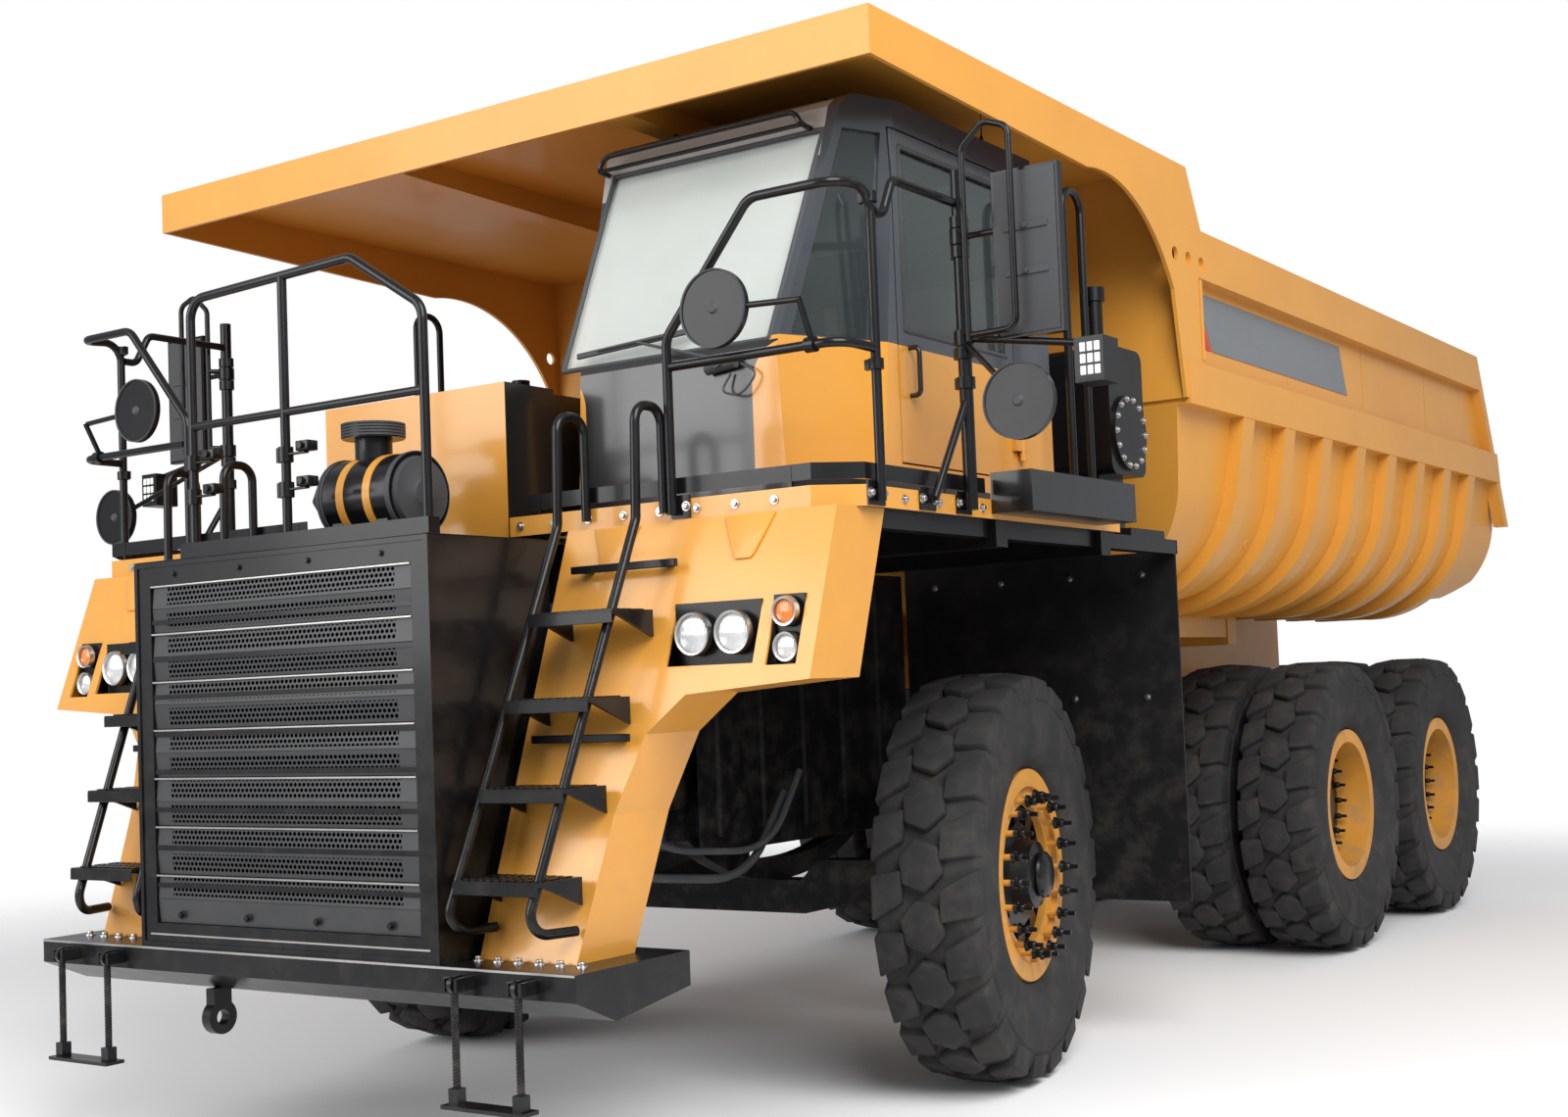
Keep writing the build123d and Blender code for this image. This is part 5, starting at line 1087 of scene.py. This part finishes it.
# Front hub: a domed cap with its bolts inside the ring of spokes
cap_outline = [(0.249, 0.0), (0.249, 0.108), (0.262, 0.104), (0.276, 0.082), (0.283, 0.050), (0.285, 0.0)]
cap_parts = [turned("hub_cap", cap_outline, 48)]
for i in range(8):
    head = bar("cap_bolt", (0.248, 0, 0.094), (0.270, 0, 0.094), 0.010, 6)
    head.data.transform(spun(i * math.pi / 4))
    cap_parts.append(head)
cap = joined("hub_cap", cap_parts)
for side, word in SIDES:
    on_front_wheel(cap, side, word, "hub_cap_", black_paint)
discard(cap)

# Splash guards of pressed sheet along the engine bay, inside the front wheels' sweep
GUARD_REAR, RIB_STEP = -1.47, 0.36
guards = []
for x, front, outer in ((0.585, -3.36, 1), (-0.585, -4.20, -1)):
    guards.append(block("guard", (x - 0.003, front, 1.090), (x + 0.003, GUARD_REAR, 2.415), 0.001))
    for i in range(int((GUARD_REAR - front) / RIB_STEP)):
        y = front + 0.14 + i * RIB_STEP
        low, high = sorted((x + outer * 0.002, x + outer * 0.018))
        rib = box("guard_rib", (low, y, 1.16), (high, y + 0.05, 2.34))
        pull(rib, lambda c: outer * (c.x - x) > 0.01 and c.y > y + 0.02, (0, -0.014, 0))
        pull(rib, lambda c: outer * (c.x - x) > 0.01 and c.y < y + 0.02, (0, 0.014, 0))
        guards.append(rib)
fitted("splash_guards", guards, chassis_paint)

# Hoses and lines on the frame and the engine, clear of the front wheels
lines = []
for run, radius in (
    ([(0.52, -4.15, 1.42), (0.62, -3.95, 1.05), (0.80, -3.30, 0.98), (0.78, -2.95, 1.35)], 0.020),
    ([(0.52, -4.05, 1.52), (0.66, -3.80, 1.15), (0.86, -3.20, 1.10), (0.84, -2.90, 1.45)], 0.016),
    ([(0.50, -4.30, 1.70), (0.60, -4.20, 2.10), (0.62, -3.60, 2.25), (0.55, -3.10, 2.00)], 0.026),
    ([(0.50, -3.50, 1.86), (0.66, -3.42, 1.98), (0.66, -3.00, 1.98), (0.52, -2.90, 1.86)], 0.030),
):
    lines.append(bent_tube("line", run, radius, 0.22, 8))
fitted("engine_lines", lines, trim_plastic, both=True)

# Tail lamps
tails = []
for side in (-1, 1):
    tail = lens(side * 0.430, 0, 1.640, 0.042, 0.012)
    tail.data.transform(Matrix.Scale(-1, 4, (0, 1, 0)))
    tail.data.flip_normals()
    tails.append(moved(tail, (0, 5.0553, 0)))
fitted("tail_lenses", tails, red_lens)


# Seat: a foam cushion and back with rolled edges and a headrest, on the cab's floor frame
def cushion(name, low, high, crown):
    """A soft block: rounded, with its middle raised a little."""
    piece = box(name, low, high)
    pick(piece)
    bpy.ops.object.mode_set(mode="EDIT")
    bpy.ops.mesh.select_all(action="SELECT")
    bpy.ops.mesh.subdivide(number_cuts=7)
    bpy.ops.object.mode_set(mode="OBJECT")
    eased(piece, 0.028, 4)
    middle = [(a + b) / 2 for a, b in zip(low, high)]
    for corner in piece.data.vertices:
        across = 1 - ((corner.co.x - middle[0]) / (high[0] - low[0]) * 2) ** 2
        corner.co += Vector(crown) * max(across, 0)
    return piece


seat_cloth = weathered(
    "seat_cloth", (0.030, 0.032, 0.036, 1), (0.045, 0.047, 0.05, 1), 0.85, 0.5, 0.1, 420.0, 0.35
)
seat_parts = [
    cushion("seat_cushion", (0.935, -3.205, 2.9262), (1.425, -2.815, 3.046), (0, 0, 0.010)),
    cushion("seat_back", (0.945, -2.795, 3.0300), (1.415, -2.675, 3.50), (0, -0.012, 0)),
    cushion("headrest", (1.065, -2.780, 3.515), (1.295, -2.685, 3.654), (0, -0.006, 0)),
]
for part in seat_parts:
    finished(part, "chassis", seat_cloth, 60)
    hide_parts("seat")


# Studio: a pale floor that fades into a white surround, soft lamps, and the photograph's view
def mix_into(tree, output, factor, first, second):
    """Two shaders mixed by a factor, into a new output node."""
    mixed = put(tree, "ShaderNodeMixShader")
    for source, socket in zip((factor, first.outputs[0], second.outputs[0]), mixed.inputs):
        wire(tree, source, socket)
    wire(tree, mixed.outputs[0], put(tree, output).inputs[0])


def make_floor():
    clear()
    bpy.ops.mesh.primitive_circle_add(vertices=96, radius=26, fill_type="NGON", location=(0, 0, 0))
    floor = bpy.context.object
    floor.name = "studio_floor"
    material = bpy.data.materials.new("studio_floor")
    material.use_nodes = True
    tree = material.node_tree
    tree.nodes.clear()
    place = put(tree, "ShaderNodeTexCoord").outputs["Object"]
    length = put(tree, "ShaderNodeVectorMath", operation="LENGTH")
    wire(tree, place, length.inputs[0])
    fade = ramp(tree, length.outputs["Value"], 6.5, 12.5)
    pale = put(tree, "ShaderNodeBsdfDiffuse", {"Color": (0.90, 0.90, 0.90, 1)})
    nothing = put(tree, "ShaderNodeBsdfTransparent")
    mix_into(tree, "ShaderNodeOutputMaterial", fade, pale, nothing)
    floor.data.materials.append(material)


def make_surround():
    world = bpy.data.worlds.new("studio")
    bpy.context.scene.world = world
    world.use_nodes = True
    tree = world.node_tree
    tree.nodes.clear()
    rays = put(tree, "ShaderNodeLightPath")
    seen = maths(tree, "MAXIMUM", rays.outputs["Is Camera Ray"], rays.outputs["Is Transmission Ray"])
    white = put(tree, "ShaderNodeBackground", {"Color": (1, 1, 1, 1), "Strength": 1.0})
    soft = put(tree, "ShaderNodeBackground", {"Color": (0.95, 0.97, 1.0, 1), "Strength": 0.52})
    mix_into(tree, "ShaderNodeOutputWorld", seen, soft, white)


def make_lamp(name, place, aim, size, power):
    lamp = bpy.data.lights.new(name, "AREA")
    lamp.size = size
    lamp.energy = power
    holder = bpy.data.objects.new(name, lamp)
    bpy.context.collection.objects.link(holder)
    holder.location = place
    holder.rotation_euler = (Vector(aim) - Vector(place)).to_track_quat("-Z", "Y").to_euler()


def make_camera():
    """The photograph's viewpoint, direction, slight tilt and angle of view."""
    turn, rise, tilt = (math.radians(a) for a in (34.147, 2.949, -2.236))
    ahead = Vector((-math.sin(turn) * math.cos(rise), math.cos(turn) * math.cos(rise), math.sin(rise)))
    level = Vector((math.cos(turn), math.sin(turn), 0))
    upright = level.cross(ahead)
    right = level * math.cos(tilt) + upright * math.sin(tilt)
    up = upright * math.cos(tilt) - level * math.sin(tilt)
    data = bpy.data.cameras.new("photo_view")
    data.sensor_width = 36
    data.lens = 43.92
    data.shift_x = -0.0013
    data.shift_y = 0.0183
    camera = bpy.data.objects.new("photo_view", data)
    bpy.context.collection.objects.link(camera)
    axes = Matrix((right, up, -ahead)).transposed().to_4x4()
    camera.matrix_world = at((5.880, -10.385, 1.848)) @ axes
    bpy.context.scene.camera = camera


make_floor()
make_surround()
make_lamp("key", (10.0, -9.0, 11.0), (0.5, -1.0, 2.2), 9.0, 2500)
make_lamp("front_fill", (-5.0, -14.0, 6.0), (-0.5, -3.0, 2.0), 8.0, 1000)
make_camera()
bpy.context.scene.view_settings.view_transform = "Standard"

discard(bolt)
